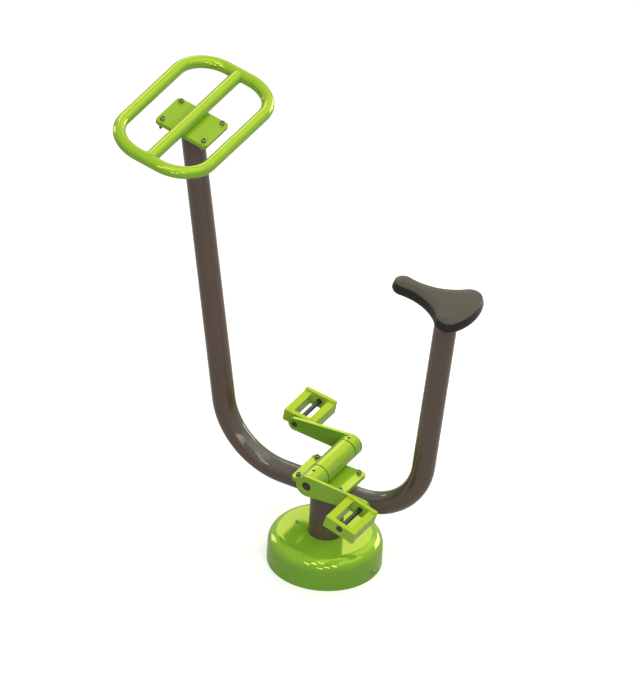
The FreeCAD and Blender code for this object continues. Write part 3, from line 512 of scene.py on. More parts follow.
@dataclass(frozen=True)
class Speckled:
    """A plain material with fine pores: seal rubber or sintered bronze."""

    name: str
    tone: Colour
    pore: Colour
    roughness: float
    metallic: float
    grain: float
    pore_gloss: float = 0.15

    def make(self) -> bpy.types.Material:
        """Makes the material.

        Returns:
            The material.
        """
        shader = Shader(self.name)
        pores = shader.between(shader.noise(self.grain, detail=3.0), low=0.5, high=0.68)
        colour = shader.blend(pores, self.tone, self.pore)
        return shader.finished({"Base Color": colour, "Roughness": self.roughness + self.pore_gloss * pores,
                                "Metallic": self.metallic,
                                "Normal": shader.relief(1 - pores, strength=0.1, depth=0.0002)})


# In FINISHES and SPECIAL_FINISHES, the second colour of each Paint, Moulding and SaddleSkin is painted top
# light: a lit copy for upward-facing surfaces.
FINISHES: dict[Slot, Finish] = {
    Slot.GREEN: Paint("lime_powder_coat", srgb(122, 174, 56), srgb(160, 207, 50), srgb(255, 215, 100),
                      roughness=0.08, flake=0.18, ior=1.8),
    Slot.GREY: Paint("brown_grey_powder_coat", srgb(86, 70, 59), srgb(101, 98, 89), WHITE,
                     roughness=0.01, flake=0.05, ior=1.5, peel=0.006),
    Slot.SADDLE: SaddleSkin("saddle_foam_skin", srgb(34, 29, 23), srgb(86, 85, 75),
                            roughness=0.28, ior=1.3),
    Slot.STEEL: Steel("turned_steel", srgb(136, 140, 130), srgb(74, 74, 66), roughness=0.24),
    Slot.GALVANISED: Galvanised("galvanised_steel", srgb(186, 190, 192), srgb(150, 156, 160)),
    Slot.RUBBER: Speckled("seal_rubber", srgb(34, 34, 35), srgb(52, 51, 50),
                          roughness=0.6, metallic=0.0, grain=700.0),
    Slot.BRONZE: Speckled("sintered_bronze", srgb(112, 92, 62), srgb(60, 46, 32),
                          roughness=0.38, metallic=1.0, grain=1600.0),
    Slot.PEDAL: Moulding("lime_moulding", srgb(147, 187, 58), srgb(188, 217, 44), roughness=0.2, ior=1.24),
}
SPECIAL_FINISHES: dict[Finish, tuple[str, ...]] = {
    # Darker steels: a brown one for the axle and the set screws, and a grey one for the pedals' spindles,
    # clips and washers.
    Steel("oiled_steel", srgb(80, 69, 61), srgb(50, 42, 36), roughness=0.34):
        ("crank_axle", "crank_set_screws"),
    Steel("worn_steel", srgb(88, 89, 84), srgb(54, 53, 49), roughness=0.32):
        ("left_pedal_spindle", "right_pedal_spindle", "left_pedal_clip", "right_pedal_clip",
         "left_pedal_washers", "right_pedal_washers"),
    Paint("lime_cover_coat", srgb(114, 179, 62), srgb(148, 212, 54), srgb(255, 205, 90),
          roughness=0.06, flake=0.14, ior=1.9):
        ("base_cover_left", "base_cover_right"),
    Paint("brown_grey_post_coat", srgb(92, 77, 66), srgb(108, 105, 96), WHITE,
          roughness=0.26, flake=0.05, ior=1.4):
        ("pedestal_tube", "pedestal_caps"),
}


def link(name: str, mesh: bpy.types.Mesh) -> bpy.types.Object:
    """Puts a mesh in the scene as an object at the origin.

    Args:
        name: The object's name.
        mesh: Its mesh.

    Returns:
        The object.
    """
    made = bpy.data.objects.new(name, mesh)
    bpy.context.scene.collection.objects.link(made)
    return made


def plain(carrier: bpy.types.Object) -> bpy.types.Mesh:
    """Turns an object with its modifiers into a plain mesh, and removes the object.

    Args:
        carrier: The object.

    Returns:
        The mesh as its modifiers leave it.
    """
    depsgraph = bpy.context.evaluated_depsgraph_get()
    mesh = bpy.data.meshes.new_from_object(carrier.evaluated_get(depsgraph))
    source = carrier.data
    bpy.data.objects.remove(carrier)
    bpy.data.meshes.remove(source)
    return mesh


class Shell:
    """A mesh that is made ring by ring."""

    def __init__(self) -> None:
        """Starts empty."""
        self.mesh = bmesh.new()

    def ring(self, points: Iterable[Sequence[float]]) -> Ring:
        """Adds a ring of points."""
        return [self.mesh.verts.new(point) for point in points]

    def wall(self, first: Ring, second: Ring) -> None:
        """Joins two rings by a wall.

        Args:
            first: One ring.
            second: The other ring, with as many points.
        """
        for index in range(len(first)):
            after = (index + 1) % len(first)
            self.mesh.faces.new((first[index], first[after], second[after], second[index]))

    def walls(self, rings: Sequence[Ring]) -> None:
        """Joins each ring to the next one."""
        for first, second in zip(rings, rings[1:]):
            self.wall(first, second)

    def lid(self, ring: Ring) -> None:
        """Closes a ring with a flat face."""
        self.mesh.faces.new(ring)

    def web(self, *rings: Ring) -> None:
        """Fills the flat inside a ring, up to a second ring where there is one.

        Args:
            rings: The outer ring, and the inner one, which may have another number of points.
        """
        edges = [self.mesh.edges.get((ring[index - 1], ring[index])) or
                 self.mesh.edges.new((ring[index - 1], ring[index]))
                 for ring in rings for index in range(len(ring))]
        bmesh.ops.triangle_fill(self.mesh, use_beauty=True, use_dissolve=False, edges=edges)

    def done(self, name: str, place: Matrix | None = None, crease: float = 32.0) -> bpy.types.Mesh:
        """Ends the mesh, with its faces outwards.

        Args:
            name: The mesh's name.
            place: Where it goes.
            crease: The angle in degrees past which an edge looks sharp.

        Returns:
            The mesh.
        """
        bmesh.ops.recalc_face_normals(self.mesh, faces=self.mesh.faces[:])
        mesh = bpy.data.meshes.new(name)
        self.mesh.to_mesh(mesh)
        self.mesh.free()
        mesh.transform(place or Matrix.Identity(4))
        mesh.shade_smooth()
        mesh.set_sharp_from_angle(angle=math.radians(crease))
        return mesh


def circle(radius: float, count: int = 64, centre: tuple[float, float] = (0.0, 0.0)) -> list[Vector]:
    """A circle's points in a plane."""
    return [Vector((centre[0] + radius * math.cos(math.tau * index / count),
                    centre[1] + radius * math.sin(math.tau * index / count))) for index in range(count)]


def arc(centre: Vector, radius: float, start: float, end: float, steps: int) -> list[Vector]:
    """The points of an arc in a plane, from one angle to another."""
    angles = (start + (end - start) * step / steps for step in range(steps + 1))
    return [centre + Vector((math.cos(angle), math.sin(angle))) * radius for angle in angles]


def rounded_rectangle(length: float, width: float, corner: float, steps: int = 10) -> list[Vector]:
    """A rectangle's outline with round corners.

    Args:
        length: The side along the first axis.
        width: The side along the second axis.
        corner: The corners' radius.
        steps: How many pieces each corner has.

    Returns:
        The outline's points, in order.
    """
    points = []
    for quarter, (along, across) in enumerate(((1, 1), (-1, 1), (-1, -1), (1, -1))):
        centre = Vector((along * (length / 2 - corner), across * (width / 2 - corner)))
        points += arc(centre, corner, quarter * math.pi / 2, (quarter + 1) * math.pi / 2, steps)
    return points


def prism(outline: Sequence[Vector], low: float, high: float, place: Matrix | None = None) -> bpy.types.Mesh:
    """A straight-sided solid.

    Args:
        outline: Its outline in the plane.
        low: Its lower end along the third axis.
        high: Its upper end.
        place: Where it goes.

    Returns:
        The mesh.
    """
    shell = Shell()
    rings = [shell.ring((point.x, point.y, level) for point in outline) for level in (low, high)]
    shell.walls(rings)
    shell.lid(rings[0][::-1])
    shell.lid(rings[1])
    return shell.done("blank", place, UNCREASED)


def turned(profile: Sequence[tuple[float, float]], place: Matrix,
           sides: int = TURNED_SIDES) -> bpy.types.Mesh:
    """A solid of revolution with a hole along its axis.

    Args:
        profile: The closed section's radius and height at each corner.
        place: Where its axis goes.
        sides: How many faces go round.

    Returns:
        The mesh.
    """
    shell = Shell()
    rings = [shell.ring((*point, height) for point in circle(radius, sides)) for radius, height in profile]
    shell.walls(rings + rings[:1])
    return shell.done("blank", place, UNCREASED)


def machined(blank: bpy.types.Mesh, cutters: Sequence[bpy.types.Mesh], edge: float) -> bpy.types.Mesh:
    """Cuts pockets and bores in a blank, and rounds its edges.

    Args:
        blank: The solid.
        cutters: The solids that are taken away.
        edge: The radius of the edges.

    Returns:
        The mesh.
    """
    carrier = link("blank", blank)
    tools = [link("cutter", cutter) for cutter in cutters]
    for tool in tools:
        cut = carrier.modifiers.new("cut", "BOOLEAN")
        cut.operation, cut.solver, cut.object = "DIFFERENCE", "EXACT", tool
    rounding = carrier.modifiers.new("edge", "BEVEL")
    rounding.limit_method, rounding.angle_limit = "ANGLE", BEVEL_ANGLE
    rounding.width, rounding.segments = edge, BEVEL_SEGMENTS
    rounding.use_clamp_overlap, rounding.harden_normals = False, True
    mesh = plain(carrier)
    for tool in tools:
        source = tool.data
        bpy.data.objects.remove(tool)
        bpy.data.meshes.remove(source)
    return mesh


class Layout(Graph):
    """A geometry node tree that is run on a mesh and leaves a plain mesh."""

    def __init__(self, name: str, inputs: dict[str, str]) -> None:
        """Starts a tree.

        Args:
            name: The tree's name.
            inputs: The socket type of each named input after the geometry.
        """
        super().__init__(bpy.data.node_groups.new(name, "GeometryNodeTree"))
        face = self.tree.interface
        face.new_socket("Geometry", in_out="INPUT", socket_type="NodeSocketGeometry")
        self.keys = {word: face.new_socket(word, in_out="INPUT", socket_type=kind).identifier
                     for word, kind in inputs.items()}
        face.new_socket("Geometry", in_out="OUTPUT", socket_type="NodeSocketGeometry")
        self.given = self.node("NodeGroupInput").outputs
        self.build()

    def build(self) -> None:
        """Adds the tree's own nodes."""

    def end(self, geometry: bpy.types.NodeSocket) -> None:
        """Ends the tree in plain faces with a material.

        Args:
            geometry: What the tree has made.
        """
        real = self.node("GeometryNodeRealizeInstances", None, {"Geometry": geometry})
        dressed = self.node("GeometryNodeSetMaterial", None,
                            {"Geometry": real.outputs[0], "Material": self.given["Finish"]})
        self.node("NodeGroupOutput", None, {"Geometry": dressed.outputs[0]})

    def swept(self, radius: bpy.types.NodeSocket,
              sides: Any) -> tuple[bpy.types.NodeSocket, bpy.types.NodeSocket]:
        """Draws a round section along the given path.

        Args:
            radius: The section's radius.
            sides: How many sides it has, as a number or a link.

        Returns:
            The path's curve and the mesh along it.
        """
        path = self.node("GeometryNodeMeshToCurve", None, {"Mesh": self.given["Geometry"]}).outputs[0]
        ring = self.node("GeometryNodeCurvePrimitiveCircle", None, {"Resolution": sides, "Radius": radius})
        tube = self.node("GeometryNodeCurveToMesh", None,
                         {"Curve": path, "Profile Curve": ring.outputs[0], "Fill Caps": True})
        return path, tube.outputs[0]

    def smooth(self, geometry: bpy.types.NodeSocket) -> bpy.types.NodeSocket:
        """The geometry with smooth shading."""
        return self.node("GeometryNodeSetShadeSmooth", None, {"Geometry": geometry}).outputs[0]

    def chance(self, low: float, high: float) -> bpy.types.NodeSocket:
        """Draws a random number for each point.

        Args:
            low: The least number.
            high: The greatest number.

        Returns:
            The number's socket.
        """
        node = self.node("FunctionNodeRandomValue", {"data_type": "FLOAT"},
                         {"Min_001": low, "Max_001": high, "Seed": self.given["Seed"]})
        return self._socket(node.outputs, "Value_001")

    def run(self, mesh: bpy.types.Mesh, values: dict[str, Any]) -> bpy.types.Mesh:
        """Runs the tree on a mesh.

        Args:
            mesh: The path or the points that it follows.
            values: The value of each named input.

        Returns:
            The plain mesh.
        """
        carrier = bpy.data.objects.new("layout", mesh)
        modifier = carrier.modifiers.new("layout", "NODES")
        modifier.node_group = self.tree
        for word, value in values.items():
            modifier[self.keys[word]] = value
        bpy.context.scene.collection.objects.link(carrier)
        return plain(carrier)


class TubeLayout(Layout):
    """Draws a round tube along a path."""

    def __init__(self) -> None:
        """Names the tube's sizes."""
        super().__init__("tube_along_path", {"Radius": "NodeSocketFloat", "Sides": "NodeSocketInt",
                                             "Finish": "NodeSocketMaterial"})

    def build(self) -> None:
        """Adds the tree's own nodes."""
        _, tube = self.swept(self.given["Radius"], self.given["Sides"])
        self.end(self.smooth(tube))


class WeldLayout(Layout):
    """Lays a weld bead along a path: a round fillet with overlapping ripples."""

    BEAD_SIDES = 10
    DROP_SIDES = 8
    DROP_RINGS = 5
    DROP_WIDTHS = (1.1, 1.24)
    DROP_LENGTH = 0.62

    def __init__(self) -> None:
        """Names the bead's sizes."""
        super().__init__("weld_bead", {"Bead": "NodeSocketFloat", "Pitch": "NodeSocketFloat",
                                       "Seed": "NodeSocketInt", "Finish": "NodeSocketMaterial"})

    def build(self) -> None:
        """Adds the tree's own nodes."""
        path, fillet = self.swept(self.given["Bead"], self.BEAD_SIDES)
        steps = self.node("GeometryNodeResampleCurve", {"mode": "LENGTH"},
                          {"Curve": path, "Length": self.given["Pitch"]})
        drop = self.node("GeometryNodeMeshUVSphere", None,
                         {"Segments": self.DROP_SIDES, "Rings": self.DROP_RINGS,
                          "Radius": self.given["Bead"]})
        along = self.node("FunctionNodeAlignRotationToVector", {"axis": "Z"},
                          {"Vector": self.node("GeometryNodeInputTangent").outputs[0]})
        width = self.chance(*self.DROP_WIDTHS)
        size = self.node("ShaderNodeCombineXYZ", None, {"X": width, "Y": width, "Z": self.DROP_LENGTH})
        ripples = self.node("GeometryNodeInstanceOnPoints", None,
                            {"Points": steps.outputs[0], "Instance": drop.outputs[0],
                             "Rotation": along.outputs[0], "Scale": size.outputs[0]})
        both = self.node("GeometryNodeJoinGeometry")
        for part in (ripples.outputs[0], fillet):
            self.tree.links.new(part, both.inputs[0])
        self.end(self.smooth(both.outputs[0]))


class FastenerLayout(Layout):
    """Puts a fastener on each of a set of points, each turned on its own axis by chance."""

    def __init__(self) -> None:
        """Names the fastener, its lean and the seed of its turns."""
        super().__init__("fasteners", {"Fastener": "NodeSocketObject", "Lean": "NodeSocketRotation",
                                       "Seed": "NodeSocketInt", "Finish": "NodeSocketMaterial"})

    def build(self) -> None:
        """Adds the tree's own nodes."""
        shape = self.node("GeometryNodeObjectInfo", None, {"Object": self.given["Fastener"]})
        placed = self.node("GeometryNodeInstanceOnPoints", None,
                           {"Points": self.given["Geometry"], "Instance": shape.outputs["Geometry"],
                            "Rotation": self.given["Lean"]})
        turn = self.chance(0.0, math.tau)
        spin = self.node("FunctionNodeAxisAngleToRotation", None, {"Axis": (0.0, 0.0, 1.0), "Angle": turn})
        turned_ones = self.node("GeometryNodeRotateInstances", None,
                                {"Instances": placed.outputs[0], "Rotation": spin.outputs[0],
                                 "Local Space": True})
        self.end(turned_ones.outputs[0])


@dataclass(frozen=True)
class Fastener:
    """The shapes of the bike's screws, nuts and washers, each drawn upright about its own axis.

    The shares are of the size that each one belongs to.
    """

    sides: int = 36
    chamfer_share: float = 0.12
    knurl_depth: float = 0.022
    knurl_end: float = 1.6
    cap_socket_share: float = 0.55
    button_socket_share: float = 0.6
    button_angles: tuple[int, ...] = (0, 14, 30, 46, 60)
    button_curve: float = 0.8
    button_sink: float = 0.0002
    threaded_share: float = 0.6
    thread_pitch: float = 0.00125
    thread_depth: float = 0.55
    thread_stop: float = 1.5
    corner_share: float = 0.515
    corner_height: float = 0.035
    hex_crease: float = 20.0
    washer_edge: float = 0.2

    def _round(self, shell: Shell, radius: float, level: float) -> Ring:
        """A round ring at a level."""
        return shell.ring((*point, level) for point in circle(radius, self.sides))

    def _hexagonal(self, shell: Shell, flats: float, level: float, limit: float = math.inf) -> Ring:
        """Adds a hexagon.

        Args:
            shell: The mesh that it is added to.
            flats: Its width over the flats.
            level: Its level.
            limit: The radius to which its corners are cut back.

        Returns:
            The ring.
        """
        points = []
        for index in range(self.sides):
            angle = math.tau * index / self.sides
            off_flat = (angle + math.pi / 6) % (math.pi / 3) - math.pi / 6
            radius = min(flats / 2 / math.cos(math.pi / 6 - abs(off_flat)), limit)
            points.append((radius * math.cos(angle), radius * math.sin(angle), level))
        return shell.ring(points)

    def _socket(self, shell: Shell, rim: Ring, flats: float, level: float, depth: float) -> None:
        """Closes a head's top round a hexagonal socket.

        Args:
            shell: The head's mesh.
            rim: The ring at the edge of its top.
            flats: The socket's width over the flats.
            level: The top's level.
            depth: The socket's depth.
        """
        hexagon = circle(flats / math.sqrt(3), 6)
        mouth, floor = (shell.ring((*point, height) for point in hexagon)
                        for height in (level, level - depth))
        shell.web(rim, mouth)
        shell.wall(floor, mouth)
        shell.lid(floor)

    def _shank(self, shell: Shell, radius: float, length: float) -> list[Ring]:
        """Adds a shank with a thread's turns on its lower part.

        Args:
            shell: The screw's mesh.
            radius: The shank's radius.
            length: Its length below the head.

        Returns:
            Its rings, from under the head down.
        """
        pitch, level = self.thread_pitch, length * self.threaded_share - length
        rings = [self._round(shell, radius, 0.0), self._round(shell, radius, level)]
        while level > pitch * self.thread_stop - length:
            rings.append(self._round(shell, radius - self.thread_depth * pitch, level - pitch / 2))
            rings.append(self._round(shell, radius, level - pitch))
            level -= pitch
        return rings + [self._round(shell, radius - pitch, -length)]

    def socket_screw(self, head: float, height: float, flats: float, shank: float,
                     length: float) -> bpy.types.Mesh:
        """A cap screw with a knurled head.

        Args:
            head: The head's radius.
            height: The head's height.
            flats: The socket's width.
            shank: The shank's radius.
            length: The shank's length below the head.

        Returns:
            The mesh, with the head's underside at zero.
        """
        shell, chamfer = Shell(), head * self.chamfer_share
        knurl = [(1 - self.knurl_depth * (index % 2)) * point
                 for index, point in enumerate(circle(head, self.sides))]
        band = [shell.ring((*point, level) for point in knurl)
                for level in (chamfer, height - chamfer * self.knurl_end)]
        rings = [self._round(shell, head - chamfer / 2, 0.0), *band,
                 self._round(shell, head, height - chamfer), self._round(shell, head - chamfer, height)]
        shell.walls(rings)
        self._socket(shell, rings[-1], flats, height, height * self.cap_socket_share)
        legs = self._shank(shell, shank, length)
        shell.walls(legs)
        shell.wall(rings[0], legs[0])
        shell.lid(legs[-1])
        return shell.done("socket_screw")

    def button_screw(self, head: float, height: float, flats: float) -> bpy.types.Mesh:
        """A low round-headed screw with a hexagonal socket.

        Args:
            head: The head's radius.
            height: The head's height.
            flats: The socket's width.

        Returns:
            The mesh, with the head's underside at zero.
        """
        shell = Shell()
        angles = [math.radians(step) for step in self.button_angles]
        rings = [self._round(shell, head, -self.button_sink)]
        rings += [self._round(shell, head * math.cos(angle) ** self.button_curve,
                              height * math.sin(angle) / math.sin(angles[-1])) for angle in angles]
        shell.walls(rings)
        self._socket(shell, rings[-1], flats, height, height * self.button_socket_share)
        shell.lid(rings[0])
        return shell.done("button_screw")

    def hex_block(self, flats: float, height: float) -> bpy.types.Mesh:
        """A nut or a hexagon head with its corners turned off.

        Args:
            flats: Its width over the flats.
            height: Its height.

        Returns:
            The mesh, from zero up.
        """
        shell, limit, cut = Shell(), flats * self.corner_share, flats * self.corner_height
        rings = [self._hexagonal(shell, flats, 0.0, limit), self._hexagonal(shell, flats, cut),
                 self._hexagonal(shell, flats, height - cut), self._hexagonal(shell, flats, height, limit)]
        shell.walls(rings)
        shell.lid(rings[0])
        shell.lid(rings[-1])
        return shell.done("hex_block", crease=self.hex_crease)

    def washer(self, radius: float, hole: float, thickness: float) -> bpy.types.Mesh:
        """A flat washer with broken edges.

        Args:
            radius: Its outer radius.
            hole: The hole's radius.
            thickness: Its thickness.

        Returns:
            The mesh, from zero up.
        """
        soft = thickness * self.washer_edge
        section = [(hole, 0.0), (radius - soft, 0.0), (radius, soft), (radius, thickness - soft),
                   (radius - soft, thickness), (hole, thickness)]
        return turned(section, Matrix.Identity(4), self.sides)


class Workshop:
    """Holds the made materials and layouts, and hands each finished piece over to its body."""

    def __init__(self) -> None:
        """Makes every material and layout once."""
        self.materials = {slot: finish.make() for slot, finish in FINISHES.items()}
        self.tube = TubeLayout()
        self.weld = WeldLayout()
        self.fasteners = FastenerLayout()

    def dress_nodes(self) -> None:
        """Gives each CAD node its special finish, or the one of its material slot."""
        special: dict[str, bpy.types.Material] = {}
        for finish, nodes in SPECIAL_FINISHES.items():
            special |= dict.fromkeys(nodes, finish.make())
        for row in frame["record"]["subparts"]:
            mesh = frame["nodes"][row["node"]].data
            mesh.materials.clear()
            mesh.materials.append(special.get(row["node"]) or self.materials[Slot(row["material_slot"])])

    def show(self, name: str, mesh: bpy.types.Mesh, slot: Slot, body: Body, *nodes: str) -> bpy.types.Object:
        """Hands a piece over to its body.

        Args:
            name: The piece's name.
            mesh: Its mesh, in its place.
            slot: The material slot of its finish.
            body: The body that it moves with.
            nodes: The CAD nodes that it stands for.

        Returns:
            The piece.
        """
        mesh.name = name
        mesh.materials.clear()
        mesh.materials.append(self.materials[slot])
        piece = link(name, mesh)
        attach(piece, body.value)
        if nodes:
            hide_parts(*nodes)
        LOG.info("%s: %d faces on %s", name, len(mesh.polygons), body.value)
        return piece

    def piped(self, points: Sequence[Vector], radius: float, slot: Slot,
              closed: bool = False) -> bpy.types.Mesh:
        """Draws a round tube along a path of points."""
        path = self._path([(points, closed)])
        return self.tube.run(path, {"Radius": radius, "Sides": TUBE_SIDES, "Finish": self.materials[slot]})

    def welded(self, seams: Sequence[tuple[Sequence[Vector], bool]], bead: float,
               slot: Slot) -> bpy.types.Mesh:
        """Lays weld beads.

        Args:
            seams: Each seam's points, and whether it closes on itself.
            bead: The beads' radius.
            slot: The paint over them.

        Returns:
            The beads' mesh.
        """
        values = {"Bead": bead, "Pitch": bead * RIPPLE_PITCH, "Seed": WELD_SEED,
                  "Finish": self.materials[slot]}
        return self.weld.run(self._path(seams), values)

    def fastened(self, shape: bpy.types.Mesh, spots: Sequence[Vector], lean: Euler,
                 seed: int) -> bpy.types.Mesh:
        """Puts a fastener on each spot.

        Args:
            shape: The fastener's mesh, which this uses up.
            spots: The places.
            lean: The way that its axis leans.
            seed: The seed of the turns on its axis.

        Returns:
            The fasteners' mesh.
        """
        points = bpy.data.meshes.new("spots")
        points.from_pydata(spots, [], [])
        pattern = link("fastener", shape)
        values = {"Fastener": pattern, "Lean": lean, "Seed": seed, "Finish": self.materials[Slot.STEEL]}
        mesh = self.fasteners.run(points, values)
        bpy.data.objects.remove(pattern)
        bpy.data.meshes.remove(shape)
        return mesh

    @staticmethod
    def _path(seams: Sequence[tuple[Sequence[Vector], bool]]) -> bpy.types.Mesh:
        """Draws lines of points as edges.

        Args:
            seams: Each line's points, and whether it closes on itself.

        Returns:
            The mesh of edges.
        """
        points, edges = [], []
        for line, closed in seams:
            start, count = len(points), len(line)
            points += [tuple(point) for point in line]
            edges += [(start + index, start + index + 1) for index in range(count - 1)]
            if closed:
                edges.append((start + count - 1, start))
        mesh = bpy.data.meshes.new("path")
        mesh.from_pydata(points, edges, [])
        return mesh


def joined(meshes: Sequence[bpy.types.Mesh]) -> bpy.types.Mesh:
    """Puts several meshes together in one.

    Args:
        meshes: The meshes, which this uses up.

    Returns:
        The one mesh.
    """
    whole = bmesh.new()
    for mesh in meshes:
        whole.from_mesh(mesh)
        bpy.data.meshes.remove(mesh)
    result = bpy.data.meshes.new("joined")
    whole.to_mesh(result)
    whole.free()
    return result


def corners(place: Matrix, spacing: tuple[float, float], level: float) -> list[Vector]:
    """Finds the places of four bolts.

    Args:
        place: The frame that they stand in.
        spacing: How far apart they are along its first and second axis.
        level: Their level along its third axis.

    Returns:
        The four places.
    """
    return [place @ Vector((along * spacing[0] / 2, across * spacing[1] / 2, level))
            for along in (1, -1) for across in (1, -1)]


@dataclass(frozen=True)
class Skeleton:
    """The bike's main lines: the bent tube's axis, and the frames in which the sub-assemblies stand."""

    tube_radius: float = 0.03015
    axis_height: float = 0.221
    bend_radius: float = 0.190
    front_corner: float = 0.292
    rear_corner: float = -0.260
    mast_tilt: float = math.radians(9.68)
    mast_height: float = 1.177
    seat_tilt: float = math.radians(5.35)
    seat_tube_length: float = 0.674
    bar_tilt: float = math.radians(10.08)
    plate_thickness: float = 0.006
    weld_seat: float = 0.001

    @property
    def mast_top(self) -> Vector:
        """The middle of the mast's upper end."""
        rise = self.mast_height - self.axis_height
        return Vector((self.front_corner + rise * math.tan(self.mast_tilt), 0.0, self.mast_height))

    @property
    def seat_top(self) -> Vector:
        """The middle of the seat tube's upper end."""
        lean = Vector((-math.sin(self.seat_tilt), 0.0, math.cos(self.seat_tilt)))
        return Vector((self.rear_corner, 0.0, self.axis_height)) + lean * self.seat_tube_length

    @property
    def mast_frame(self) -> Matrix:
        """The frame of the handlebar's plates."""
        return Matrix.Translation(self.mast_top) @ Matrix.Rotation(-self.bar_tilt, 4, "Y")

    @property
    def seat_frame(self) -> Matrix:
        """The frame of the saddle."""
        return Matrix.Translation(self.seat_top) @ Matrix.Rotation(-self.seat_tilt, 4, "Y")

    @property
    def mount_level(self) -> float:
        """The underside of the crank's plates."""
        return self.axis_height + self.tube_radius - self.weld_seat

    @property
    def crank_level(self) -> float:
        """The height of the crank's axis."""
        return self.mount_level + 2 * self.plate_thickness + self.tube_radius - self.weld_seat

    @property
    def crank_frame(self) -> Matrix:
        """The frame of what turns about the crank's axis, with its third axis along Y."""
        return Matrix.Translation((0.0, 0.0, self.crank_level)) @ Matrix.Rotation(-math.pi / 2, 4, "X")


@dataclass
class BentTube:
    """The one bent tube, the pedestal's seam on it and the seams at its two ends."""

    shop: Workshop
    lines: Skeleton
    pedestal_radius: float = 0.04445
    bead: float = 0.0030
    bend_steps: int = 44
    inset: float = 0.002
    saddle_steps: int = 32
    end_steps: int = 64
    mount_reach: float = 0.074
    mount_offset: float = 0.0082
    mount_sink: float = 0.0008

    def _axis(self) -> list[Vector]:
        """Draws the tube's axis.

        Returns:
            Its points, from the saddle's plate round both bends into the mast's plate.
        """
        turns = [self.lines.seat_top, Vector((self.lines.rear_corner, 0, self.lines.axis_height)),
                 Vector((self.lines.front_corner, 0, self.lines.axis_height)), self.lines.mast_top]
        points = [turns[0] + (turns[0] - turns[1]).normalized() * self.inset]
        for before, corner, after in zip(turns, turns[1:], turns[2:]):
            first, second = (before - corner).normalized(), (after - corner).normalized()
            half = first.angle(second) / 2
            centre = corner + (first + second).normalized() * (self.lines.bend_radius / math.sin(half))
            start = corner + first * (self.lines.bend_radius / math.tan(half)) - centre
            turn = start.rotation_difference(
                corner + second * (self.lines.bend_radius / math.tan(half)) - centre)
            axis, angle = turn.to_axis_angle()
            points += [centre + Matrix.Rotation(angle * step / self.bend_steps, 4, axis) @ start
                       for step in range(self.bend_steps + 1)]
        return points + [turns[-1] + (turns[-1] - turns[-2]).normalized() * self.inset]

    def _saddle_seam(self) -> list[Vector]:
        """Draws the closed line where the pedestal and its caps meet the tube.

        Returns:
            Its points.
        """
        radius, tube = self.pedestal_radius, self.lines.tube_radius
        side = math.asin(tube / radius)
        points = []
        for start in (0.0, math.pi):
            for step in range(self.saddle_steps + 1):
                angle = start - side + 2 * side * step / self.saddle_steps
                across = radius * math.sin(angle)
                drop = math.sqrt(max(tube ** 2 - across ** 2, 0.0))
                points.append(Vector((radius * math.cos(angle), across, self.lines.axis_height - drop)))
        return points

    def _end_seam(self, middle: Vector, axis: Vector, normal: Vector) -> list[Vector]:
        """Draws the line where the tube meets a plate across its end.

        Args:
            middle: The middle of the tube's end.
            axis: The tube's direction there.
            normal: The plate's normal.

        Returns:
            Its points.
        """
        aside = Vector((0.0, 1.0, 0.0))
        forward = aside.cross(axis).normalized()
        points = []
        for step in range(self.end_steps):
            angle = math.tau * step / self.end_steps
            spoke = (forward * math.cos(angle) + aside * math.sin(angle)) * self.lines.tube_radius
            points.append(middle + spoke - axis * (spoke.dot(normal) / axis.dot(normal)))
        return points

    def build(self) -> None:
        """Makes the tube and its seams."""
        self.shop.show("bent_tube", self.shop.piped(self._axis(), self.lines.tube_radius, Slot.GREY),
                       Slot.GREY, Body.FRAME, "main_tube")
        lean = math.sin(self.lines.mast_tilt), math.cos(self.lines.mast_tilt)
        mast_normal = self.lines.mast_frame.to_3x3() @ Vector((0.0, 0.0, 1.0))
        seat_normal = self.lines.seat_frame.to_3x3() @ Vector((0.0, 0.0, 1.0))
        seams = [(self._saddle_seam(), True),
                 (self._end_seam(self.lines.mast_top, Vector((lean[0], 0.0, lean[1])), mast_normal), True),
                 (self._end_seam(self.lines.seat_top, seat_normal, seat_normal), True)]
        for side in Side:
            level, across = self.lines.mount_level - self.mount_sink, side.value * self.mount_offset
            seams.append(([Vector((reach, across, level)) for reach in (-self.mount_reach, self.mount_reach)],
                          False))
        self.shop.show("bent_tube_welds", self.shop.welded(seams, self.bead, Slot.GREY),
                       Slot.GREY, Body.FRAME)


@dataclass
class PlateJoint:
    """Two bolted plates with their four cap screws, washers and nuts."""

    shop: Workshop
    name: str
    place: Matrix
    thickness: float
    nodes: tuple[str, str]
    fastener_nodes: tuple[str, str, str]
    cutters: tuple[bpy.types.Mesh, ...] = ()
    length: float = 0.156
    width: float = 0.124
    corner: float = 0.012
    edge: float = 0.0012
    spacing: tuple[float, float] = (0.125, 0.095)
    bolt_radius: float = 0.004
    bolt_length: float = 0.030
    head_radius: float = 0.0065
    head_height: float = 0.008
    socket: float = 0.006
    washer_radius: float = 0.008
    washer_thickness: float = 0.0016
    nut_flats: float = 0.013
    nut_height: float = 0.0068

    def build(self) -> None:
        """Makes the plates and their fasteners."""
        outline = rounded_rectangle(self.length, self.width, self.corner)
        for index, node in enumerate(self.nodes):
            low = index * self.thickness
            blank = prism(outline, low, low + self.thickness, self.place)
            self.shop.show(f"{self.name}_{('lower', 'upper')[index]}_plate",
                           machined(blank, self.cutters if index else (), self.edge),
                           Slot.GREEN, Body.FRAME, node)
        shapes = Fastener()
        lean = self.place.to_euler()
        under = -self.washer_thickness
        layers = (
            (shapes.socket_screw(self.head_radius, self.head_height, self.socket, self.bolt_radius,
                                 self.bolt_length), 2 * self.thickness),
            (shapes.washer(self.washer_radius, self.bolt_radius, self.washer_thickness), under),
            (shapes.hex_block(self.nut_flats, self.nut_height), under - self.nut_height))
        words = ("screws", "washers", "nuts")
        for seed, ((shape, level), word, node) in enumerate(zip(layers, words, self.fastener_nodes)):
            spots = corners(self.place, self.spacing, level)
            mesh = self.shop.fastened(shape, spots, lean, seed + PLATE_SEED)
            self.shop.show(f"{self.name}_{word}", mesh, Slot.STEEL, Body.FRAME, node)


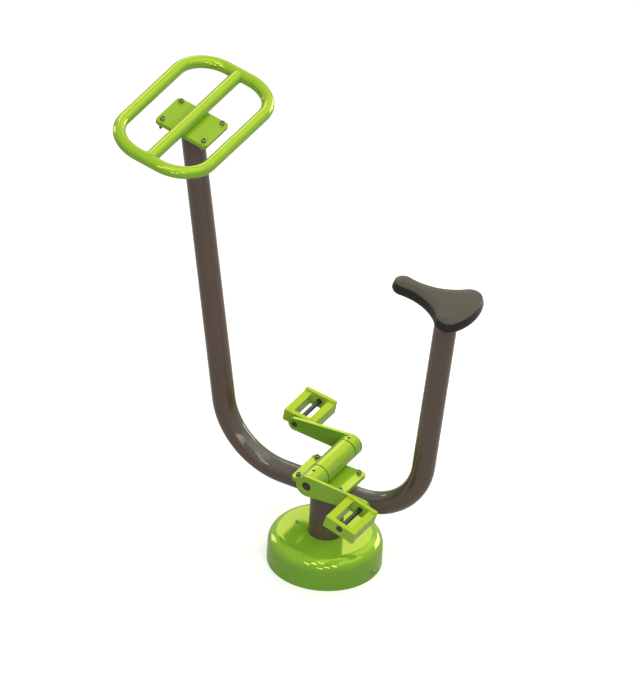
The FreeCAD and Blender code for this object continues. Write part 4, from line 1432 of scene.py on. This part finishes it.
@dataclass
class Handlebar:
    """The closed loop, the bar across it and their welds."""

    shop: Workshop
    lines: Skeleton
    bar_radius: float = 0.01685
    depth: float = 0.261
    width: float = 0.464
    corner: float = 0.098
    bead: float = 0.0016
    corner_steps: int = 32
    cope_steps: int = 64
    bar_inset: float = 0.004
    foot_offset: float = 0.0062
    foot_reach: float = 0.061
    foot_lift: float = 0.0004

    def build(self) -> None:
        """Makes the loop, the crossbar and the welds."""
        rise = 2 * self.lines.plate_thickness + self.bar_radius - self.lines.weld_seat
        place = self.lines.mast_frame @ Matrix.Translation((0.0, 0.0, rise))
        loop = [place @ point.to_3d()
                for point in rounded_rectangle(self.depth, self.width, self.corner, self.corner_steps)]
        self.shop.show("grip_loop", self.shop.piped(loop, self.bar_radius, Slot.GREEN, True),
                       Slot.GREEN, Body.FRAME, "handlebar_loop")
        ends = [place @ Vector((0.0, side.value * (self.width / 2 - self.bar_inset), 0.0)) for side in Side]
        self.shop.show("cross_bar", self.shop.piped(ends, self.bar_radius, Slot.GREEN),
                       Slot.GREEN, Body.FRAME, "handlebar_crossbar")
        seams = []
        for side in Side:
            cope = []
            for step in range(self.cope_steps):
                angle = math.tau * step / self.cope_steps
                along, up = math.cos(angle) * self.bar_radius, math.sin(angle) * self.bar_radius
                cope.append(place @ Vector((along, side.value * (self.width / 2 - abs(along)), up)))
            seams.append((cope, True))
            foot = -self.bar_radius + self.lines.weld_seat + self.foot_lift
            seams.append(([place @ Vector((side.value * self.foot_offset, across, foot))
                           for across in (-self.foot_reach, self.foot_reach)], False))
        self.shop.show("handlebar_welds", self.shop.welded(seams, self.bead, Slot.GREEN),
                       Slot.GREEN, Body.FRAME)


@dataclass
class BaseCover:
    """The cover's four button screws, over the cover's two CAD halves."""

    shop: Workshop
    head_radius: float = 0.0052
    head_height: float = 0.0036
    socket: float = 0.003
    offset: float = 0.007
    top_reach: float = 0.082
    top_level: float = 0.087
    skirt_reach: float = 0.1485
    skirt_level: float = 0.020

    def build(self) -> None:
        """Makes the screws on the cover's top and on its skirt."""
        places = [([Vector((way * self.top_reach, self.offset, self.top_level)) for way in (1, -1)],
                   Euler((0.0, 0.0, 0.0)))]
        places += [([Vector((way * self.skirt_reach, self.offset, self.skirt_level))],
                    Euler((0.0, way * math.pi / 2, 0.0))) for way in (1, -1)]
        meshes = []
        for seed, (spots, lean) in enumerate(places):
            shape = Fastener().button_screw(self.head_radius, self.head_height, self.socket)
            meshes.append(self.shop.fastened(shape, spots, lean, seed + COVER_SEED))
        self.shop.show("cover_screws", joined(meshes), Slot.STEEL, Body.FRAME, "base_cover_screws")


@dataclass
class CrankSet:
    """The bearing housing, and the bosses and arms that turn in it."""

    shop: Workshop
    lines: Skeleton
    radius: float = 0.03015
    housing: tuple[float, float] = (-0.0812, 0.0522)
    housing_bore: float = 0.02602
    boss_start: dict[Side, float] = field(default_factory=lambda: {Side.LEFT: 0.0555, Side.RIGHT: 0.0845})
    arm_start: float = 0.108
    arm_thickness: float = 0.010
    arm_length: float = 0.1675
    small_end: float = 0.0185
    axle_radius: float = 0.01252
    spindle_radius: float = 0.00802
    set_screw_radius: float = 0.0041
    edge: float = 0.0007
    arm_edge: float = 0.0014
    bead: float = 0.0018
    relief_radius: float = 0.03115
    relief_span: tuple[float, float] = (0.053, 0.070)
    housing_weld_offset: float = 0.0086
    housing_weld_start: float = -0.061
    housing_weld_gap: float = 0.001
    screw_depth: float = 0.05
    screw_sides: int = 32
    large_end_steps: int = 56
    small_end_steps: int = 40
    arm_weld_reach: float = math.radians(78)
    arm_weld_gap: float = 0.0006

    def relief(self) -> bpy.types.Mesh:
        """The solid that keeps the left boss clear of the plate under it."""
        return prism(circle(self.relief_radius, TURNED_SIDES), *self.relief_span, self.lines.crank_frame)

    def _sleeve(self, bore: float, low: float, high: float) -> bpy.types.Mesh:
        """A plain sleeve about the crank's axis."""
        section = [(bore, low), (self.radius, low), (self.radius, high), (bore, high)]
        return turned(section, self.lines.crank_frame)

    def _housing(self) -> None:
        """Makes the housing and its two weld lines on the plate."""
        low, high = self.housing
        mesh = machined(self._sleeve(self.housing_bore, low, high), (), self.edge)
        self.shop.show("bearing_housing", mesh, Slot.GREEN, Body.FRAME, "crank_housing")
        foot = self.lines.mount_level + 2 * self.lines.plate_thickness
        reach = (self.housing_weld_start, high - self.housing_weld_gap)
        seams = [([Vector((side.value * self.housing_weld_offset, across, foot)) for across in reach], False)
                 for side in Side]
        self.shop.show("bearing_housing_welds", self.shop.welded(seams, self.bead, Slot.GREEN),
                       Slot.GREEN, Body.FRAME)

    def _boss(self, side: Side) -> None:
        """Makes the round boss on the axle, with its set screw's hole.

        Args:
            side: The rider's side that it is on.
        """
        low, high = sorted((side.value * self.boss_start[side], side.value * self.arm_start))
        hole = Matrix.Translation((0.0, (low + high) / 2, self.lines.crank_level))
        cutter = prism(circle(self.set_screw_radius, self.screw_sides), 0.0, self.screw_depth, hole)
        mesh = machined(self._sleeve(self.axle_radius, low, high), (cutter,), self.edge)
        self.shop.show(f"{side.word}_boss", mesh, Slot.GREEN, Body.CRANK, f"{side.word}_crank_boss")

    def _arm(self, side: Side) -> None:
        """Makes the tapered arm and the weld round its boss.

        Args:
            side: The rider's side that it is on.
        """
        middle, tip = Vector((0.0, 0.0)), Vector((self.arm_length, 0.0))
        tangent = math.acos((self.radius - self.small_end) / self.arm_length)
        outline = arc(middle, self.radius, tangent, math.tau - tangent, self.large_end_steps)
        outline += arc(tip, self.small_end, -tangent, tangent, self.small_end_steps)
        turn = self.lines.crank_frame @ Matrix.Rotation(math.pi if side is Side.LEFT else 0.0, 4, "Z")
        low, high = sorted((side.value * self.arm_start, side.value * (self.arm_start + self.arm_thickness)))
        rounds = (circle(self.axle_radius), circle(self.spindle_radius, BORE_SIDES, (self.arm_length, 0.0)))
        bores = [prism(points, low - OVERCUT, high + OVERCUT, turn) for points in rounds]
        mesh = machined(prism(outline, low, high, turn), bores, self.arm_edge)
        self.shop.show(f"{side.word}_arm", mesh, Slot.GREEN, Body.CRANK, f"{side.word}_crank_arm")
        edge = arc(middle, self.radius + self.arm_weld_gap, -self.arm_weld_reach, self.arm_weld_reach,
                   self.small_end_steps)
        level = side.value * (self.arm_start - self.arm_weld_gap)
        seam = [turn @ Vector((point.x, point.y, level)) for point in edge]
        self.shop.show(f"{side.word}_arm_weld", self.shop.welded([(seam, False)], self.bead, Slot.GREEN),
                       Slot.GREEN, Body.CRANK)

    def build(self) -> None:
        """Makes the housing, the bosses and the arms."""
        self._housing()
        for side in Side:
            self._boss(side)
            self._arm(side)


@dataclass
class Pedal:
    """A block with a window, a raised lip along its right end and a bore for its spindle."""

    shop: Workshop
    lines: Skeleton
    side: Side
    near_end: float
    tilt: float
    crank_length: float = 0.1675
    length: float = 0.091
    width: float = 0.117
    low: float = -0.020
    high: float = 0.014
    lip: float = 0.0055
    lip_wall: float = 0.012
    plain_wall: float = 0.015
    bar: float = 0.022
    bore: float = 0.00802
    recess: float = 0.0095
    recess_depth: float = 0.0035
    edge: float = 0.0020
    bore_edge: float = 0.0004
    window_corner: float = 0.002
    window_depth: float = 0.05

    def build(self) -> None:
        """Makes the pedal in its place."""
        ends = sorted((self.side.value * self.near_end, self.side.value * (self.near_end + self.width)))
        place = (Matrix.Translation((-self.side.value * self.crank_length, 0.0, self.lines.crank_level))
                 @ Matrix.Rotation(-self.tilt, 4, "Y"))
        upright = place @ Matrix(((0, 0, 1, 0), (1, 0, 0, 0), (0, 1, 0, 0), (0, 0, 0, 1)))
        across = place @ Matrix.Rotation(-math.pi / 2, 4, "X")
        start, end = ends
        inner = start + self.lip_wall
        section = [Vector(point) for point in ((start, self.low), (end, self.low), (end, self.high),
                                               (inner, self.high), (inner, self.high + self.lip),
                                               (start, self.high + self.lip))]
        blank = prism(section, -self.length / 2, self.length / 2, upright)
        gap = end - self.plain_wall - inner
        window = prism(rounded_rectangle(self.length - 2 * self.bar, gap, self.window_corner, 1),
                       -self.window_depth, self.window_depth,
                       place @ Matrix.Translation((0.0, inner + gap / 2, 0.0)))
        block = machined(blank, (window,), self.edge)
        cuts = ((self.bore, start - OVERCUT, end + OVERCUT),
                (self.recess, start - OVERCUT, start + self.recess_depth),
                (self.recess, end - self.recess_depth, end + OVERCUT))
        bores = [prism(circle(radius, BORE_SIDES), near, far, across) for radius, near, far in cuts]
        body = Body.LEFT_PEDAL if self.side is Side.LEFT else Body.RIGHT_PEDAL
        self.shop.show(f"{self.side.word}_pedal_block", machined(block, bores, self.bore_edge),
                       Slot.PEDAL, body, f"{self.side.word}_pedal_body")


@dataclass
class Saddle:
    """The moulded pad with its narrow nose and two lobes, the plate under it and the plate's bolts."""

    shop: Workshop
    lines: Skeleton
    nose: tuple[float, float] = (0.136, 0.028)
    lobe: tuple[float, float, float] = (-0.031, 0.056, 0.035)
    waist_radius: float = 0.150
    rear_radius: float = 0.170
    bottom: float = 0.006
    thickness: float = 0.033
    edge: float = 0.0048
    lean: float = 0.0045
    bulge: float = 0.0014
    crown: float = 0.0025
    tuck: float = 0.0042
    plate: tuple[float, float, float, float] = (0.084, 0.064, 0.010, 0.006)
    spacing: tuple[float, float] = (0.062, 0.042)
    plate_edge: float = 0.001
    bolt_flats: float = 0.013
    bolt_head: float = 0.0053
    crease: float = 60.0
    arc_steps: tuple[int, int, int, int] = (18, 24, 26, 14)
    tuck_share: float = 0.4
    tuck_levels: tuple[float, float, float] = (0.0022, 0.0052, 0.0092)
    side_shares: tuple[float, ...] = (0.3, 0.65)
    side_curve: float = 1.3
    shoulder_start: float = math.radians(20)
    shoulder_steps: int = 7
    crown_shares: tuple[float, ...] = (0.1, 0.22, 0.36, 0.54, 0.76, 1.0)
    crown_curve: float = 0.8
    crown_inset: float = 0.0255

    def _outline(self, inset: float) -> list[Vector]:
        """The pad's outline in plan, drawn in by an inset.

        Args:
            inset: How far it is drawn in.

        Returns:
            The points, as many for every inset.
        """
        nose, lobe = Vector((self.nose[0], 0.0)), Vector(self.lobe[:2])
        nose_radius, lobe_radius = self.nose[1], self.lobe[2]
        gap = (lobe - nose).length
        near, far = nose_radius + self.waist_radius, lobe_radius + self.waist_radius
        along = (near ** 2 - far ** 2 + gap ** 2) / (2 * gap)
        line = (lobe - nose) / gap
        waist = nose + line * along + Vector((line.y, -line.x)) * math.sqrt(near ** 2 - along ** 2)
        rear = Vector((lobe.x + math.sqrt((self.rear_radius - lobe_radius) ** 2 - lobe.y ** 2), 0.0))

        def heading(start: Vector, end: Vector) -> float:
            """The direction from one point to another."""
            return math.atan2(end.y - start.y, end.x - start.x)

        arcs = ((nose, nose_radius - inset, 0.0, heading(nose, waist)),
                (waist, self.waist_radius + inset, heading(waist, nose) % math.tau,
                 heading(waist, lobe) % math.tau),
                (lobe, lobe_radius - inset, heading(lobe, waist), heading(rear, lobe)),
                (rear, self.rear_radius - inset, heading(rear, lobe), math.pi))
        half: list[Vector] = []
        for values, steps in zip(arcs, self.arc_steps):
            half += arc(*values, steps)[1 if half else 0:]
        return half + [Vector((point.x, -point.y)) for point in half[-2:0:-1]]

    def _levels(self) -> list[tuple[float, float]]:
        """Works out the pad's section, from the underside up the leaning side to the crown.

        Returns:
            The inset and the height of each ring.
        """
        rim, start = self.thickness - self.crown, self.shoulder_start
        low, middle, high = self.tuck_levels
        levels = [(self.tuck, 0.0), (self.tuck * self.tuck_share, low), (0.0, middle), (-self.bulge, high)]
        shoulder = rim - self.edge * (1 - math.sin(start))
        for share in self.side_shares:
            levels.append((self.lean * share ** self.side_curve - self.bulge,
                           high + (shoulder - high) * share))
        for step in range(self.shoulder_steps + 1):
            angle = start + (math.pi / 2 - start) * step / self.shoulder_steps
            inset = self.lean - self.bulge + self.edge * (math.cos(start) - math.cos(angle))
            levels.append((inset, rim - self.edge * (1 - math.sin(angle))))
        last = levels[-1][0]
        for share in self.crown_shares:
            level = rim + self.crown * math.sin(share * math.pi / 2) ** self.crown_curve
            levels.append((last + (self.crown_inset - last) * share, level))
        return levels

    def build(self) -> None:
        """Makes the pad, the plate under it and the bolts."""
        shell = Shell()
        rings = [shell.ring((*point, self.bottom + level) for point in self._outline(inset))
                 for inset, level in self._levels()]
        shell.walls(rings)
        shell.lid(rings[0])
        shell.web(rings[-1])
        pad = self.shop.show("saddle_pad", shell.done("saddle_pad", self.lines.seat_frame, self.crease),
                             Slot.SADDLE, Body.FRAME, "saddle")
        length, width, corner, thickness = self.plate
        blank = prism(rounded_rectangle(length, width, corner), 0.0, thickness, self.lines.seat_frame)
        self.shop.show("saddle_plate", machined(blank, (), self.plate_edge),
                       Slot.GREY, Body.FRAME, "seat_plate")
        spots = corners(self.lines.seat_frame, self.spacing, -self.bolt_head)
        heads = self.shop.fastened(Fastener().hex_block(self.bolt_flats, self.bolt_head), spots,
                                   self.lines.seat_frame.to_euler(), SADDLE_SEED)
        self.shop.show("saddle_bolt_heads", heads, Slot.STEEL, Body.FRAME, "saddle_bolts")


@dataclass(frozen=True)
class Lamp:
    """A soft box: its place, its length and width, its power in watts and how much of the blue it lacks."""

    name: str
    spot: tuple[float, float, float]
    size: tuple[float, float]
    power: float
    warm: float = 0.0


@dataclass
class Studio:
    """The floor, the light and the camera."""

    camera_right: Vector = field(default_factory=lambda: Vector((-0.8622, -0.5048, 0.0432)))
    camera_up: Vector = field(default_factory=lambda: Vector((0.3177, -0.4722, 0.8223)))
    frame_height: float = 1.7394
    aim_right: float = -0.0112
    aim_up: float = 0.5647
    distance: float = 5.0
    clip_end: float = 40.0
    floor_size: float = 16.0
    floor_glow: float = 0.3
    shown_floor: float = 0.98
    mirrored_floor: float = 0.7
    paper: tuple[Colour, Colour] = (srgb(176, 176, 175), srgb(182, 182, 181))
    floor_fade: tuple[float, float] = (1.2, 3.2)
    middle: Vector = field(default_factory=lambda: Vector((0.0, 0.0, 0.6)))
    sky: float = 0.36
    mirrored_sky: float = 0.75
    lamps: tuple[Lamp, ...] = (
        Lamp("key_box", (3.9, -5.1, 4.1), (3.8, 3.8), 80.0, 0.4),
        Lamp("ridge_box", (-1.0, -5.2, 5.2), (4.6, 4.6), 60.0, 0.75),
        Lamp("top_box", (-2.8, 0.2, 6.2), (7.0, 7.0), 165.0),
        Lamp("back_box", (-2.0, -6.4, 1.5), (2.6, 3.4), 125.0),
        Lamp("front_box", (6.0, -1.2, 1.6), (2.8, 1.4), 40.0))
    warm_green: float = 0.3
    bend_slope: Vector = field(default_factory=lambda: Vector((0.7, 0.0, 0.7)))
    panes: int = 3
    pane_power: float = 30.0
    pane_size: tuple[float, float] = (1.5, 0.3)
    pane_spacing: float = 0.3
    window_distance: float = 7.0
    windows: tuple[tuple[float, float, float], ...] = ((-0.53, 0.77, 0.35), (-0.05, 0.69, 0.72))

    def _floor(self) -> None:
        """Makes a pale floor that keeps the bike's shadow and goes over into white further out."""
        half = self.floor_size / 2
        mesh = bpy.data.meshes.new("studio_floor")
        mesh.from_pydata([(-half, -half, 0), (half, -half, 0), (half, half, 0), (-half, half, 0)], [],
                         [(0, 1, 2, 3)])
        shader = Shader("studio_paper")
        path = shader.node("ShaderNodeLightPath").outputs
        camera = Signal(shader, path["Is Camera Ray"])
        seen = camera + Signal(shader, path["Is Glossy Ray"]) + Signal(shader, path["Is Transmission Ray"])
        fibre = shader.noise(scale=180.0, detail=3.0)
        shade = shader.blend(fibre, *self.paper)
        dull, bright, mirrored = (shader.node("ShaderNodeBsdfDiffuse", None, {"Color": colour})
                                  for colour in (shade, grey(self.shown_floor), grey(self.mirrored_floor)))
        glow = shader.node("ShaderNodeEmission", None, {"Color": WHITE, "Strength": self.floor_glow})
        lit = shader.node("ShaderNodeAddShader", None, {0: bright.outputs[0], 1: glow.outputs[0]})
        white = shader.node("ShaderNodeEmission", None, {"Color": WHITE, "Strength": 1.0})
        reach = shader.node("ShaderNodeVectorMath", {"operation": "LENGTH"}, {0: shader.place})
        far = shader.between(Signal(shader, reach.outputs["Value"]), *self.floor_fade)
        shown = shader.node("ShaderNodeMixShader", None, {0: far, 1: lit.outputs[0], 2: white.outputs[0]})
        both = shader.node("ShaderNodeMixShader", None, {0: seen, 1: dull.outputs[0], 2: mirrored.outputs[0]})
        whole = shader.node("ShaderNodeMixShader", None, {0: camera, 1: both.outputs[0], 2: shown.outputs[0]})
        shader.node("ShaderNodeOutputMaterial", None, {"Surface": whole.outputs[0]})
        mesh.materials.append(shader.material)
        link("studio_floor", mesh)

    def _world(self) -> None:
        """Makes a plain sky that is white to the camera and pale in reflections."""
        world = bpy.data.worlds.new("studio_sky")
        world.use_nodes = True
        bpy.context.scene.world = world
        graph = Graph(world.node_tree)
        path = graph.node("ShaderNodeLightPath").outputs
        mirrored = Signal(graph, path["Is Glossy Ray"]) + Signal(graph, path["Is Transmission Ray"])
        soft, pale, white = (graph.node("ShaderNodeBackground", None, {"Color": WHITE, "Strength": strength})
                             for strength in (self.sky, self.mirrored_sky, 1.0))
        both = graph.node("ShaderNodeMixShader", None, {0: mirrored, 1: soft.outputs[0], 2: pale.outputs[0]})
        whole = graph.node("ShaderNodeMixShader", None,
                           {0: path["Is Camera Ray"], 1: both.outputs[0], 2: white.outputs[0]})
        graph.node("ShaderNodeOutputWorld", None, {"Surface": whole.outputs[0]})

    def _lamp(self, lamp: Lamp) -> None:
        """Adds a soft box that looks at the bike's middle, with its length along the slope of the front bend.

        Args:
            lamp: The soft box.
        """
        data = bpy.data.lights.new(lamp.name, "AREA")
        data.shape, data.energy = "RECTANGLE", lamp.power
        data.size, data.size_y = lamp.size
        data.color = (1.0, 1.0 - self.warm_green * lamp.warm, 1.0 - lamp.warm)
        made = bpy.data.objects.new(lamp.name, data)
        back = (Vector(lamp.spot) - self.middle).normalized()
        across = back.cross(self.bend_slope).normalized()
        turn = Matrix((across.cross(back), across, back)).transposed()
        made.matrix_world = Matrix.Translation(lamp.spot) @ turn.to_4x4()
        bpy.context.scene.collection.objects.link(made)

    def _window(self, number: int, way: Vector) -> None:
        """Adds a window of narrow panes side by side.

        Args:
            number: The window's number.
            way: Its direction from the bike's middle.
        """
        across = way.cross(self.bend_slope).normalized()
        for pane in range(self.panes):
            aside = across * self.pane_spacing * (pane - self.panes // 2)
            spot = self.middle + (way + aside).normalized() * self.window_distance
            self._lamp(Lamp(f"window_{number}_pane_{pane}", tuple(spot), self.pane_size, self.pane_power))

    def _camera(self) -> None:
        """Sets the camera at the photograph's view, with no perspective."""
        data = bpy.data.cameras.new("photo_camera")
        data.type, data.sensor_fit, data.clip_end = "ORTHO", "VERTICAL", self.clip_end
        data.ortho_scale = self.frame_height
        right, up = self.camera_right.normalized(), self.camera_up.normalized()
        back = right.cross(up).normalized()
        spot = right * self.aim_right + up * self.aim_up + back * self.distance
        turn = Matrix((right, up, back)).transposed()
        camera = bpy.data.objects.new("photo_camera", data)
        camera.matrix_world = Matrix.Translation(spot) @ turn.to_4x4()
        bpy.context.scene.collection.objects.link(camera)
        bpy.context.scene.camera = camera

    def build(self) -> None:
        """Sets up the floor, the light and the camera."""
        bpy.context.scene.view_settings.view_transform = "Standard"
        self._floor()
        self._world()
        for lamp in self.lamps:
            self._lamp(lamp)
        for number, way in enumerate(self.windows):
            self._window(number, Vector(way).normalized())
        self._camera()


def main() -> None:
    """Builds the sub-assemblies in order."""
    logging.basicConfig(level=logging.INFO, format="%(name)s %(message)s")
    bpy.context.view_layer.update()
    shop, lines = Workshop(), Skeleton()
    shop.dress_nodes()
    crank = CrankSet(shop, lines)
    BentTube(shop, lines).build()
    PlateJoint(shop, "handlebar", lines.mast_frame, lines.plate_thickness,
               ("mast_top_plate", "handlebar_plate"),
               ("handlebar_bolts", "handlebar_washers", "handlebar_nuts")).build()
    Handlebar(shop, lines).build()
    PlateJoint(shop, "crank", Matrix.Translation((0.0, 0.0, lines.mount_level)), lines.plate_thickness,
               ("crank_mount_plate", "crank_carrier_plate"),
               ("crank_plate_bolts", "crank_plate_washers", "crank_plate_nuts"), (crank.relief(),)).build()
    BaseCover(shop).build()
    crank.build()
    Pedal(shop, lines, Side.LEFT, near_end=0.120, tilt=math.radians(16.0)).build()
    Pedal(shop, lines, Side.RIGHT, near_end=0.129, tilt=math.radians(7.6)).build()
    Saddle(shop, lines).build()
    Studio().build()


if __name__ == "__main__":
    main()
